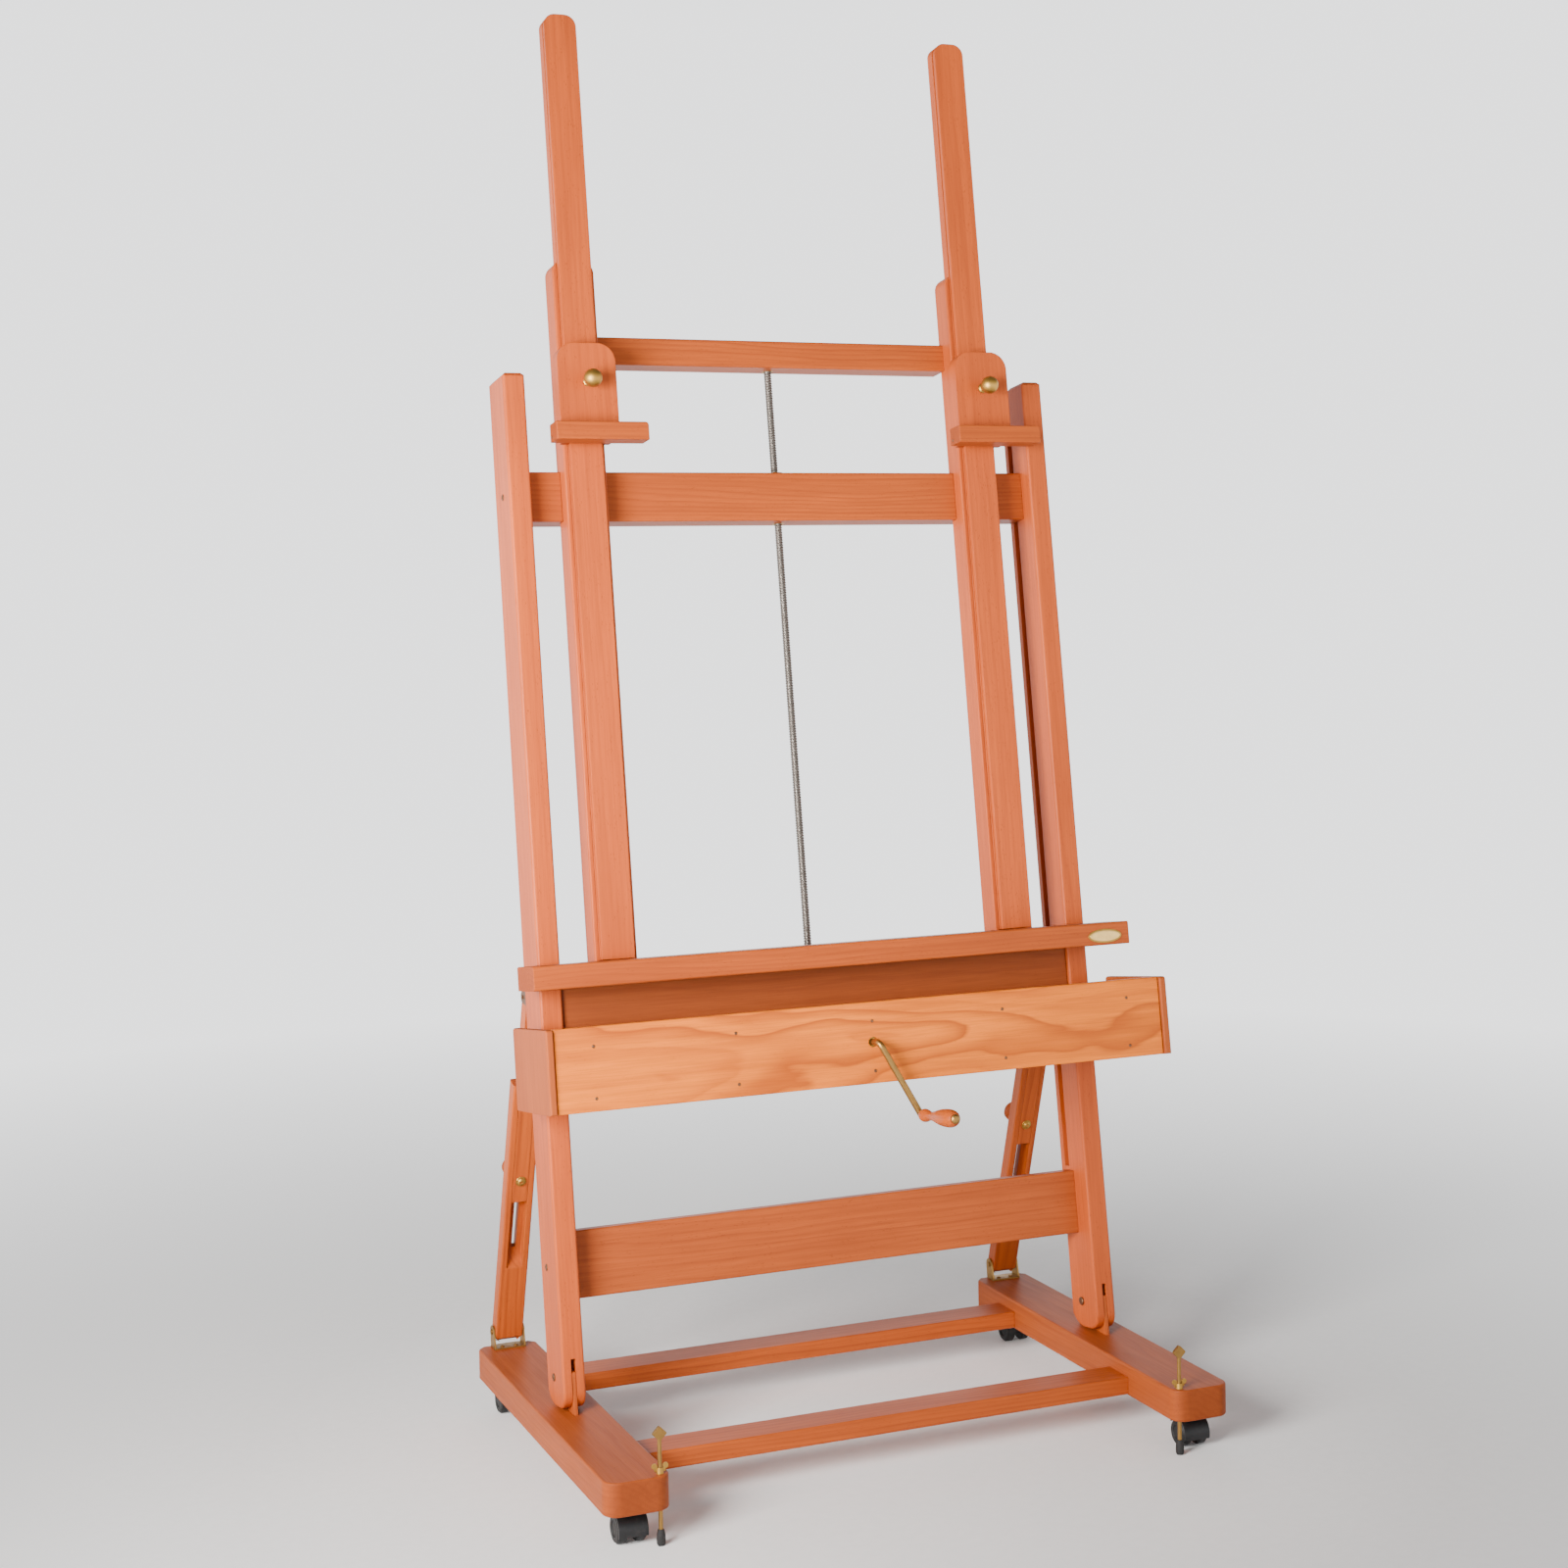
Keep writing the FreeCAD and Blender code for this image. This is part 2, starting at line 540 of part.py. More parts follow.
def shaft_bushes():
    """Plain bearings: for the rod in the top bar and in the gearbox, for the crank in both boards."""
    rod_bore = ROD_RADIUS + RUNNING_GAP
    rod_outer = ROD_BUSH_RADIUS
    crank_bore = CRANK_BAR_RADIUS + RUNNING_GAP
    crank_outer = CRANK_BUSH_RADIUS
    top = round_bar(rod_outer, (0, ROD_V, TOP_BAR_T[0]), (0, ROD_V, ROD_TOP + 2))
    top = top.cut(round_bar(rod_bore, (0, ROD_V, TOP_BAR_T[0]), (0, ROD_V, ROD_TOP + 2)))
    flanged = [(rod_bore, 541), (rod_outer, 541), (rod_outer, 545), (12, 545), (12, 551), (rod_bore, 551)]
    gearbox = turned(flanged, (0, ROD_V, 0), Z_AXIS)
    crank_bushes = []
    for v in ((TRAY_FRONT_V[0] + 4, TRAY_FRONT_V[1] + 24), BACK_BOARD_V):
        bush = round_bar(crank_outer, (0, v[0], CRANK_T), (0, v[1], CRANK_T))
        crank_bushes.append(bush.cut(round_bar(crank_bore, (0, v[0], CRANK_T), (0, v[1], CRANK_T))))
    return [top, gearbox] + crank_bushes


def canvas_ledge():
    """The ledge that the canvas stands on, notched round the posts."""
    half_inside = POST_X[0] - 2
    ledge = block((-LEDGE_HALF, LEDGE_HALF), (LEDGE_V[0], -1.5), LEDGE_T)
    ledge = ledge.fuse(block((-half_inside, half_inside), (-2, LEDGE_V[1]), LEDGE_T)).removeSplitter()
    rebate_t = (LEDGE_T[1] - LEDGE_REBATE, LEDGE_T[1] + 1)
    ledge = ledge.cut(block((-LEDGE_HALF - 1, LEDGE_HALF + 1), (LEDGE_CLEAR_V, LEDGE_V[1] + 1), rebate_t))
    front = [edge for edge in edges_along(ledge, X_AXIS, 500) if edge.CenterOfMass.y < LEDGE_V[0] + 1]
    return ledge.makeFillet(3.0, front)


def badge_plate():
    """A blank oval plate on the ledge's front."""
    ellipse = Part.Ellipse(Vector(BADGE_X, LEDGE_V[0], BADGE_T), 29.5, 11.0)
    outline = ellipse.toShape()
    outline.rotate(Vector(BADGE_X, LEDGE_V[0], BADGE_T), X_AXIS, 90)
    return Part.Face(Part.Wire([outline])).extrude(Vector(0, -1.4, 0))


def back_board():
    """The board that closes the tray behind and carries the guides, with its two guide blocks."""
    half = 420.0
    board = block((-half, half), BACK_BOARD_V, (CARRIAGE_BOTTOM, LEDGE_T[0]))
    board = board.cut(round_bar(CRANK_BUSH_RADIUS, (0, 0, CRANK_T), (0, 40, CRANK_T)))
    guide = block((395, half + 0.5), (BACK_BOARD_V[1], 69), (450, 600))
    rail_v = (GUIDE_GROOVE_V[0] + SLIDE_GAP, GUIDE_GROOVE_V[1] - SLIDE_GAP)
    rail = block((half, POST_X[0] + GUIDE_GROOVE_DEPTH - 1), rail_v, (450, 600))
    return [board] + both_sides([guide.fuse(rail).removeSplitter()])


def tray_front_board():
    """The tray's front, let in between the side panels."""
    half = TRAY_HALF - TRAY_WALL - TRAY_END_GAP
    board = block((-half, half), TRAY_FRONT_V, (CARRIAGE_BOTTOM, TRAY_TOP))
    board = board.makeFillet(2.0, edges_along(board, X_AXIS))
    return board.cut(round_bar(CRANK_BUSH_RADIUS, (0, -170, CRANK_T), (0, -140, CRANK_T)))


def tray_side_panel():
    """The right end of the tray, outside the post: its top corners and its front edge are rounded."""
    panel = block((TRAY_HALF - TRAY_WALL, TRAY_HALF), TRAY_V, (CARRIAGE_BOTTOM, TRAY_TOP))
    upper = [edge for edge in edges_along(panel, X_AXIS) if edge.CenterOfMass.z > TRAY_TOP - 1]
    panel = panel.makeFillet(5.0, upper)
    return panel.makeFillet(2.5, [edge for edge in panel.Edges if edge.BoundBox.YMax < TRAY_V[0] + 0.1])


def tray_bottom():
    """The tray's floor, the ribs across it that the front is screwed to, and the crank's bearing block."""
    half = TRAY_HALF - TRAY_WALL
    floor_top = CARRIAGE_BOTTOM + TRAY_BOTTOM_THICK
    z = (CARRIAGE_BOTTOM, floor_top)
    floor = block((-half, half), (TRAY_FRONT_V[1], -1.5), z)
    inside = POST_X[0] - 2
    floor = floor.fuse(block((-inside, inside), (-2, BACK_BOARD_V[0]), z)).removeSplitter()
    ribs = []
    for x in TRAY_SCREW_X[1:]:
        ribs.append(block((x - 6, x + 6), (TRAY_FRONT_V[1], -1.5), (floor_top, RIB_TOP)))
    bearing = block((-20, 20), (TRAY_FRONT_V[1], TRAY_FRONT_V[1] + 24), (floor_top, RIB_TOP))
    bearing = bearing.cut(round_bar(CRANK_BUSH_RADIUS, (0, -170, CRANK_T), (0, -100, CRANK_T)))
    return [floor, bearing] + both_sides(ribs)


def tray_screws():
    """Pairs of screws through the tray's front into the ribs and the bearing block."""
    screws = []
    for x in TRAY_SCREW_X:
        for t in TRAY_SCREW_T:
            screws.append(socket_screw((x, TRAY_FRONT_V[0], t), Y_AXIS, 2.5, 0.5, 1.5, 34.0))
    left = [mirrored(screw) for screw in screws if screw.BoundBox.Center.x > 1]
    return screws + left


def gearbox_housing():
    """A cast box behind the back board, open at its front, with a hole for the rod."""
    shell = block((-35, 35), (BACK_BOARD_V[1], 95), (470, 545))
    shell = shell.makeFillet(5.0, edges_along(shell, Z_AXIS))
    room = block((-31, 31), (BACK_BOARD_V[1] - 1, 91), (474, 541))
    shell = shell.cut(room)
    return shell.cut(round_bar(ROD_BUSH_RADIUS, (0, ROD_V, 520), (0, ROD_V, 560)))


# ---------------------------------------------------------------------------------------- lift and crank

def bevel_gear(first_tooth):
    """A bevel gear about Z, apex at the origin; `first_tooth` is its first tooth's angle in degrees."""
    pitch = GEAR_PITCH_RADIUS
    cone = pitch * math.sqrt(2)
    module = 2 * pitch / GEAR_TEETH
    toe_scale = 1 - GEAR_FACE / cone
    tip = 0.75 * module * math.sqrt(0.5)
    root = 1.1 * module * math.sqrt(0.5)
    root_heel = (pitch - root, pitch + root)
    root_toe = (root_heel[0] * toe_scale, root_heel[1] * toe_scale)
    hub = 10.5
    back = root_heel[1] + 2
    profile = [(0, root_toe[1]), root_toe, root_heel, (root_heel[0], back), (hub, back), (hub, back + 6),
               (0, back + 6)]
    gear = turned(profile, (0, 0, 0), Z_AXIS)
    corners = ((pitch - root * 1.2, pitch + root * 1.2, 2.1), (pitch + tip, pitch - tip, 0.7))
    for tooth in range(GEAR_TEETH):
        wires = []
        for scale in (1.0, toe_scale):
            (r0, h0, half0), (r1, h1, half1) = corners
            points = [Vector(r0, -half0, h0), Vector(r1, -half1, h1)]
            points += [Vector(r1, half1, h1), Vector(r0, half0, h0)]
            points = [point * scale for point in points]
            wires.append(Part.makePolygon(points + points[:1]))
        solid = Part.makeLoft(wires, True, True)
        solid.rotate(ORIGIN, Z_AXIS, first_tooth + tooth * 360.0 / GEAR_TEETH)
        gear = gear.fuse(solid)
    return gear.removeSplitter()


def threaded_rod():
    """The lift rod: it turns in the carriage's bushes and climbs through the crossbar's nut."""
    rod = round_bar(ROD_RADIUS, (0, ROD_V, CRANK_T + 14.0), (0, ROD_V, ROD_TOP))
    collar = round_bar(10.0, (0, ROD_V, 551.5), (0, ROD_V, 559.5))
    return rod.fuse(collar)


def rod_bevel_gear():
    """The gear on the rod's lower end."""
    gear = bevel_gear(0.0)
    gear.translate(Vector(0, ROD_V, CRANK_T))
    return gear.cut(threaded_rod())


def crank_shaft():
    """The crank's shaft, from its bend to its bevel gear."""
    return round_bar(CRANK_BAR_RADIUS, (0, ARM_V + CRANK_BEND_RADIUS, CRANK_T), (0, ROD_V - 14.0, CRANK_T))


def crank_bevel_gear():
    """The gear on the crank's shaft, half a tooth out of step with its mate."""
    gear = bevel_gear(90.0 + 180.0 / GEAR_TEETH)
    gear.rotate(ORIGIN, X_AXIS, 90)
    gear.translate(Vector(0, ROD_V, CRANK_T))
    return gear.cut(crank_shaft())


def crank_grip_place():
    """The grip axis' X and height."""
    angle = math.radians(CRANK_SWEEP)
    return CRANK_LENGTH * math.sin(angle), CRANK_T - CRANK_LENGTH * math.cos(angle)


def crank_arm():
    """The crank: a round bar bent from the shaft into the arm, and the grip's pin and end screw."""
    x, t = crank_grip_place()
    elbow_centre = Vector(0, ARM_V + CRANK_BEND_RADIUS, CRANK_T - CRANK_BEND_RADIUS)
    section = Part.Circle(elbow_centre + Z_AXIS * CRANK_BEND_RADIUS, Y_AXIS, CRANK_BAR_RADIUS).toShape()
    elbow = Part.Face(Part.Wire(section)).revolve(elbow_centre, X_AXIS, 90)
    end = (0, ARM_V, CRANK_T - CRANK_LENGTH)
    arm = round_bar(CRANK_BAR_RADIUS, (0, ARM_V, elbow_centre.z), end)
    arm = arm.fuse(elbow).fuse(Part.makeSphere(CRANK_BAR_RADIUS, Vector(*end)))
    arm.rotate(Vector(0, 0, CRANK_T), Y_AXIS, -CRANK_SWEEP)
    pin = round_bar(4.0, (x, GRIP_V[0] - 1.0, t), (x, ARM_V, t))
    screw_profile = [(4.0, 0), (6.5, 0), (6.5, 1.2), (4.0, 3.0), (0, 3.0), (0, 0.2)]
    screw = turned(screw_profile, (x, GRIP_V[0] - 0.8, t), Vector(0, -1, 0))
    return arm.fuse(crank_shaft()).fuse(pin).fuse(screw).removeSplitter()


def crank_grip():
    """The turned wooden grip: a bead against the arm, a neck, and a swelling to its free end."""
    x, t = crank_grip_place()
    length = GRIP_V[1] - GRIP_V[0]
    bore = 4.0 + RUNNING_GAP
    outline = ((7.0, 0.0), (9.5, 0.07), (6.9, 0.22), (10.2, 0.52), (13.0, 0.80), (10.4, 0.96), (7.5, 1.0))
    spline = Part.BSplineCurve()
    spline.interpolate([Vector(radius, 0, share * length) for radius, share in outline])
    first = Vector(outline[0][0], 0, 0)
    last = Vector(outline[-1][0], 0, length)
    edges = [spline.toShape()]
    for start, end in ((last, Vector(bore, 0, length)), (Vector(bore, 0, length), Vector(bore, 0, 0)),
                       (Vector(bore, 0, 0), first)):
        edges.append(Part.LineSegment(start, end).toShape())
    grip = Part.Face(Part.Wire(edges)).revolve(ORIGIN, Z_AXIS, 360)
    grip.Placement = FreeCAD.Placement(Vector(x, GRIP_V[1], t), FreeCAD.Rotation(Z_AXIS, Vector(0, -1, 0)))
    return grip


# ------------------------------------------------------------------------------------- slats and clamps

def slat():
    """The right slat: rounded top, and a groove down each side for the clamp's jaws."""
    bar = block((MAST_X - SLAT_HALF, MAST_X + SLAT_HALF), SLAT_V, SLAT_T)
    corners = [edge for edge in edges_along(bar, Y_AXIS) if edge.CenterOfMass.z > SLAT_T[1] - 1]
    bar = bar.makeFillet(18.0, corners)
    for side in (-1, 1):
        edge_x = MAST_X + side * SLAT_HALF
        x = sorted((edge_x + side, edge_x - side * 4.0))
        bar = bar.cut(block(x, (2.0, 6.0), (SLAT_T[0] - 1, SLAT_T[1] + 1)))
    return bar


def clamp_block():
    """The right clamp's block: rounded top corners and two jaws round the slat."""
    body = block((MAST_X - CLAMP_HALF, MAST_X + CLAMP_HALF), CLAMP_BLOCK_V, CLAMP_T)
    corners = [edge for edge in edges_along(body, Y_AXIS) if edge.CenterOfMass.z > CLAMP_T[1] - 1]
    body = body.makeFillet(28.0, corners)
    for side in (-1, 1):
        inner = MAST_X + side * (SLAT_HALF + 0.5)
        arm_x = sorted((inner, inner + side * 13.0))
        arm = block(arm_x, (CLAMP_BLOCK_V[1] - 1, 5.6), (CLAMP_T[0], CLAMP_T[1] - 32))
        hook_x = sorted((inner + side, inner - side * 4.0))
        hook = block(hook_x, (2.4, 5.6), (CLAMP_T[0], CLAMP_T[1] - 32))
        body = body.fuse(arm).fuse(hook)
    body = body.removeSplitter()
    screw_way = round_bar(4.0 + RUNNING_GAP, (MAST_X, -40, BALL_T), (MAST_X, 0, BALL_T))
    return body.cut(screw_way)


def clamp_bar(mast_x):
    """The bar on a clamp's front that holds the canvas' top edge; its right-hand top corner is rounded."""
    x = (mast_x + CLAMP_BAR_REACH[0], mast_x + CLAMP_BAR_REACH[1])
    bar = block(x, CLAMP_BAR_V, CLAMP_BAR_T)
    corner = []
    for edge in edges_along(bar, Y_AXIS):
        if edge.CenterOfMass.x > x[1] - 1 and edge.CenterOfMass.z > CLAMP_BAR_T[1] - 1:
            corner.append(edge)
    bar = bar.makeFillet(5.0, corner)
    return bar.makeFillet(1.5, [edge for edge in bar.Edges if edge.BoundBox.YMax < CLAMP_BAR_V[0] + 0.1])


def clamp_knob():
    """A brass ball with its collar and screw, which presses on the slat."""
    collar_profile = [(0, 0), (7.5, 0), (7.5, 3), (5.0, 5), (5.0, 16), (0, 16)]
    collar = turned(collar_profile, (MAST_X, CLAMP_BLOCK_V[0] - 0.3, BALL_T), Vector(0, -1, 0))
    screw = round_bar(4.0, (MAST_X, -40, BALL_T), (MAST_X, -5.4, BALL_T))
    ball = Part.makeSphere(BALL_RADIUS, Vector(MAST_X, BALL_V, BALL_T))
    return collar.fuse(screw).fuse(ball).removeSplitter()


# ----------------------------------------------------------------------------------------------- struts

def strut_lower():
    """The strut's lower member, about its hinge: grooved in front for the runner, with a through slot."""
    half = STRUT_WIDTH / 2
    thick = STRUT_THICK / 2
    bar = block((-half, half), (-thick, thick), (-14, 440))
    bar = bar.makeFillet(2.5, edges_along(bar, Z_AXIS))
    across = edges_along(bar, X_AXIS)
    heel = [edge for edge in across if edge.CenterOfMass.y > 0 and edge.CenterOfMass.z < 0]
    bar = bar.makeChamfer(8.0, heel)
    groove_half = RUNNER_WIDTH / 2 + 0.4
    groove_floor = -thick + RUNNER_THICK + 0.5
    cutter_radius = 40.0
    cutter_n = groove_floor - cutter_radius
    groove = block((-groove_half, groove_half), (-thick - 1, groove_floor), (150, 441))
    run_out = round_bar(cutter_radius, (-groove_half, cutter_n, 150), (groove_half, cutter_n, 150))
    groove = groove.fuse(run_out)
    slot = block((-3.5, 3.5), (-20, 20), (150, 420))
    eye = round_bar(4.0 + RUNNING_GAP, (-30, 0, 0), (30, 0, 0))
    return bar.cut(groove).cut(slot).cut(eye)


def strut_upper():
    """The runner that slides in the lower member, and its full-depth head with an eye for the pin."""
    length = strut_slope()[1]
    half = RUNNER_WIDTH / 2
    thick = STRUT_THICK / 2
    runner = block((-half, half), (-thick, -thick + RUNNER_THICK), (237.5, length - 60))
    head = block((-half, half), (-thick, thick), (length - 84, length))
    crown = round_bar(thick, (-half, 0, length), (half, 0, length))
    eye = round_bar(6.5, (-30, 0, length), (30, 0, length))
    bolt_hole = round_bar(3.0 + RUNNING_GAP, (0, -30, 274), (0, 30, 274))
    return runner.fuse(head).fuse(crown).removeSplitter().cut(eye).cut(bolt_hole)


def strut_knob():
    """The clamping bolt: head and washer in front, a stud through both members, a round knob behind."""
    front = -STRUT_THICK / 2
    back = STRUT_THICK / 2
    head_profile = [(0, 4.2), (3.5, 4.2), (5.5, 2.6), (5.5, 1.2), (8.0, 1.2), (8.0, 0.2), (0, 0.2)]
    head = turned(head_profile, (0, front, 274), Vector(0, -1, 0))
    stud = round_bar(3.0, (0, front - 1, 274), (0, back + 10, 274))
    knob_profile = [(0, 0.6), (9, 0.6), (9, 3), (7, 5), (7, 10), (14, 14), (17, 19), (17, 25), (14, 30),
                    (0, 31.5)]
    knob = turned(knob_profile, (0, back, 274), Y_AXIS)
    return head.fuse(stud).fuse(knob).removeSplitter()


# -------------------------------------------------------------------------------------------- assembly

def nodes():
    """Every node's name and shape, in the easel's axes."""
    made = {}

    stretchers = [stretcher(FRONT_STRETCHER_Y), stretcher(REAR_STRETCHER_Y)]
    screws = bracket_screws()
    stems = caster_stems()
    tongues = both_sides([post_tongue()])
    right_foot = foot().cut(stretchers).cut(screws).cut(stems).cut(tongues)
    brackets = foot_bracket()
    brackets[0] = brackets[0].cut(screws)
    made["right_foot"] = right_foot
    made["left_foot"] = mirrored(right_foot)
    made["front_stretcher"], made["rear_stretcher"] = stretchers
    made["post_tongues"] = group(tongues)
    made["strut_foot_brackets"] = group(both_sides(brackets))
    made["base_screws"] = group(screws)
    made["caster_stems"] = group(stems)

    for name, x, y, trail in caster_places():
        made[name + "_caster_hood"] = caster_hood(x, y, trail)
        made[name + "_caster_wheels"] = group(caster_wheels(x, y, trail))
    for name, x in (("left", -LEVELLER_X), ("right", LEVELLER_X)):
        made[name + "_leveller_tip"] = leveller_tip(x)
        made[name + "_leveller_screw"] = leveller_screw(x)
        made[name + "_leveller_wing_nut"] = wing_nut(x)

    bolts = frame_bolts()
    right_post = outer_post().cut(bolts)
    made["right_outer_post"] = lean_back(right_post)
    made["left_outer_post"] = lean_back(mirrored(right_post))
    made["lower_board"] = lean_back(lower_board().cut(bolts))
    made["upper_crossbar"] = lean_back(upper_crossbar().cut(bolts))
    made["rod_nut"] = lean_back(rod_nut())
    made["frame_bolts"] = lean_back(group(bolts))
    made["strut_top_brackets"] = lean_back(group(strut_top_bracket()))

    front_screws = tray_screws()
    made["right_mast"] = lean_back(mast())
    made["left_mast"] = lean_back(mirrored(mast()))
    made["top_bar"] = lean_back(top_bar())
    made["shaft_bushes"] = lean_back(group(shaft_bushes()))
    made["canvas_ledge"] = lean_back(canvas_ledge())
    made["badge_plate"] = lean_back(badge_plate())
    made["back_board"] = lean_back(group(back_board()))
    made["tray_front_board"] = lean_back(tray_front_board().cut(front_screws))
    made["tray_side_panels"] = lean_back(group(both_sides([tray_side_panel()])))
    made["tray_bottom"] = lean_back(group([piece.cut(front_screws) for piece in tray_bottom()]))
    made["tray_screws"] = lean_back(group(front_screws))
    made["gearbox_housing"] = lean_back(gearbox_housing())
    made["threaded_rod"] = lean_back(threaded_rod())
    made["rod_bevel_gear"] = lean_back(rod_bevel_gear())
    made["crank_arm"] = lean_back(crank_arm())
    made["crank_bevel_gear"] = lean_back(crank_bevel_gear())
    made["crank_grip"] = lean_back(crank_grip())

    for name, piece in (("slat", slat()), ("clamp_block", clamp_block()), ("clamp_knob", clamp_knob())):
        made["right_" + name] = lean_back(piece)
        made["left_" + name] = lean_back(mirrored(piece))
    made["right_clamp_bar"] = lean_back(clamp_bar(MAST_X))
    made["left_clamp_bar"] = lean_back(clamp_bar(-MAST_X))
    for name, piece in (("strut_lower", strut_lower()), ("strut_upper", strut_upper()),
                        ("strut_knob", strut_knob())):
        placed = lean_forward(piece)
        made["right_" + name] = placed
        made["left_" + name] = mirrored(placed)
    return made


os.makedirs("parts", exist_ok=True)
for node_name, node_shape in nodes().items():
    node_shape.exportStep("parts/" + node_name + ".step")
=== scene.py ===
import math
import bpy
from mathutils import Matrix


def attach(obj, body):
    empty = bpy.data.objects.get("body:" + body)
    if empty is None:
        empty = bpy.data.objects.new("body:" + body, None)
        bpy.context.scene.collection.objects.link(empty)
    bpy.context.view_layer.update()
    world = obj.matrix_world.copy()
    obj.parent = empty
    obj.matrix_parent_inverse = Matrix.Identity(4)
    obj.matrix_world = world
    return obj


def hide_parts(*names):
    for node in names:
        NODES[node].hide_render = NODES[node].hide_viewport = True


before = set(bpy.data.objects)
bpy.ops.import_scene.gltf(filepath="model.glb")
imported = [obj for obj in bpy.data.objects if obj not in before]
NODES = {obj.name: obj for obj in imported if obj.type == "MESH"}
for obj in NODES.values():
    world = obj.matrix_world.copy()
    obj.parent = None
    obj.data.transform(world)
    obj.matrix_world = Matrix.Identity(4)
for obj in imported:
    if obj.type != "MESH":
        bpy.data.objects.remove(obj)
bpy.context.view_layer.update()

import zlib

import bmesh
import bpy
from mathutils import Matrix, Vector

LEAN = math.radians(8.0)            # the posts and the carriage lean back
STRUT_LEAN = math.radians(-17.9)    # the struts lean forward
UPRIGHT = 0.0

# Places on the easel in millimetres; V is the depth behind the posts' front faces, T the height up the posts.
FOOT_TOP = 98.0
POST_FRONT_Y = -44.9                # where the posts' front plane meets the feet's top
STRUT_X = 438.0
STRUT_HINGE_Y = 316.0
STRUT_HINGE_Z = 123.0
MAST_X = 332.0
LEDGE_FRONT_V = -83.5
BADGE_X = 443.5
BADGE_T = 626.5
ROD_V = 64.0
ROD_T = (515.0, 1587.0)
COLLAR_T = (551.5, 559.5)
COLLAR_RADIUS = 10.0
THREAD_CREST = 6.0
THREAD_ROOT = 5.0
THREAD_PITCH = 4.0
THREAD_STARTS = 2                   # a lead of 8 mm a turn
THREAD_T = (561.0, 1553.0)

SURROUND = (0.985, 0.99, 1.0)       # colour of the studio's pale surround
SURROUND_LIGHT = 2.2                # its strength round the horizon
OVERHEAD_LIGHT = 0.22               # its strength overhead


# ------------------------------------------------------------------------------------ shader helpers

class Shader:
    """A material's node tree with short ways to add and join nodes."""

    def __init__(self, name):
        self.material = bpy.data.materials.new(name)
        self.material.use_nodes = True
        self.tree = self.material.node_tree
        self.tree.nodes.clear()
        self.output = self.node("ShaderNodeOutputMaterial")
        self.surface = self.node("ShaderNodeBsdfPrincipled")
        self.join(self.surface, "BSDF", self.output, "Surface")

    def node(self, kind, **settings):
        made = self.tree.nodes.new(kind)
        for key, value in settings.items():
            setattr(made, key, value)
        return made

    def join(self, source, out_name, target, in_name):
        self.tree.links.new(source.outputs[out_name], target.inputs[in_name])

    def put(self, value, socket):
        """A link or a constant, whichever the value is."""
        if isinstance(value, bpy.types.NodeSocket):
            self.tree.links.new(value, socket)
        else:
            socket.default_value = value

    def math(self, operation, first, second=0.0, third=0.0):
        made = self.node("ShaderNodeMath", operation=operation)
        for value, socket in zip((first, second, third), made.inputs):
            self.put(value, socket)
        return made.outputs[0]

    def vector(self, operation, first, second=(0.0, 0.0, 0.0), scale=None):
        made = self.node("ShaderNodeVectorMath", operation=operation)
        self.put(first, made.inputs[0])
        if scale is None:
            self.put(second, made.inputs[1])
        else:
            self.put(scale, made.inputs["Scale"])
        return made.outputs["Value" if operation in ("LENGTH", "DOT_PRODUCT") else "Vector"]

    def noise(self, place, scale, detail=2.0, roughness=0.5, colour=False):
        made = self.node("ShaderNodeTexNoise")
        self.put(place, made.inputs["Vector"])
        made.inputs["Scale"].default_value = scale
        made.inputs["Detail"].default_value = detail
        made.inputs["Roughness"].default_value = roughness
        return made.outputs["Color" if colour else "Fac"]

    def between(self, value, low, high, out_low=0.0, out_high=1.0):
        made = self.node("ShaderNodeMapRange", clamp=True)
        self.put(value, made.inputs["Value"])
        made.inputs["From Min"].default_value = low
        made.inputs["From Max"].default_value = high
        made.inputs["To Min"].default_value = out_low
        made.inputs["To Max"].default_value = out_high
        return made.outputs["Result"]

    def mix(self, share, first, second):
        made = self.node("ShaderNodeMix", data_type="RGBA")
        self.put(share, made.inputs[0])
        self.put(first, made.inputs[6])
        self.put(second, made.inputs[7])
        return made.outputs[2]

    def bump(self, height, strength, distance, normal):
        made = self.node("ShaderNodeBump")
        made.inputs["Strength"].default_value = strength
        made.inputs["Distance"].default_value = distance
        self.put(height, made.inputs["Height"])
        self.put(normal, made.inputs["Normal"])
        return made.outputs["Normal"]

    def soft_normal(self, radius):
        """Normals rounded over at the edges."""
        made = self.node("ShaderNodeBevel", samples=4)
        made.inputs["Radius"].default_value = radius
        return made.outputs["Normal"]


def rgba(colour):
    return (colour[0], colour[1], colour[2], 1.0)


def shade(colour, factor):
    return [min(1.0, channel * factor) for channel in colour]


def piece_number(name):
    """A steady number from 0 to 1 for a piece's name."""
    return (zlib.crc32(name.encode()) % 10007) / 10007.0


# --------------------------------------------------------------------------------------------- woods

def middle_of(node, lean):
    """The middle of a node's box, in axes turned upright."""
    turn = Matrix.Rotation(lean, 3, "X")
    places = [turn @ vertex.co for vertex in node.data.vertices]
    return [(min(along) + max(along)) / 2 for along in zip(*places)]


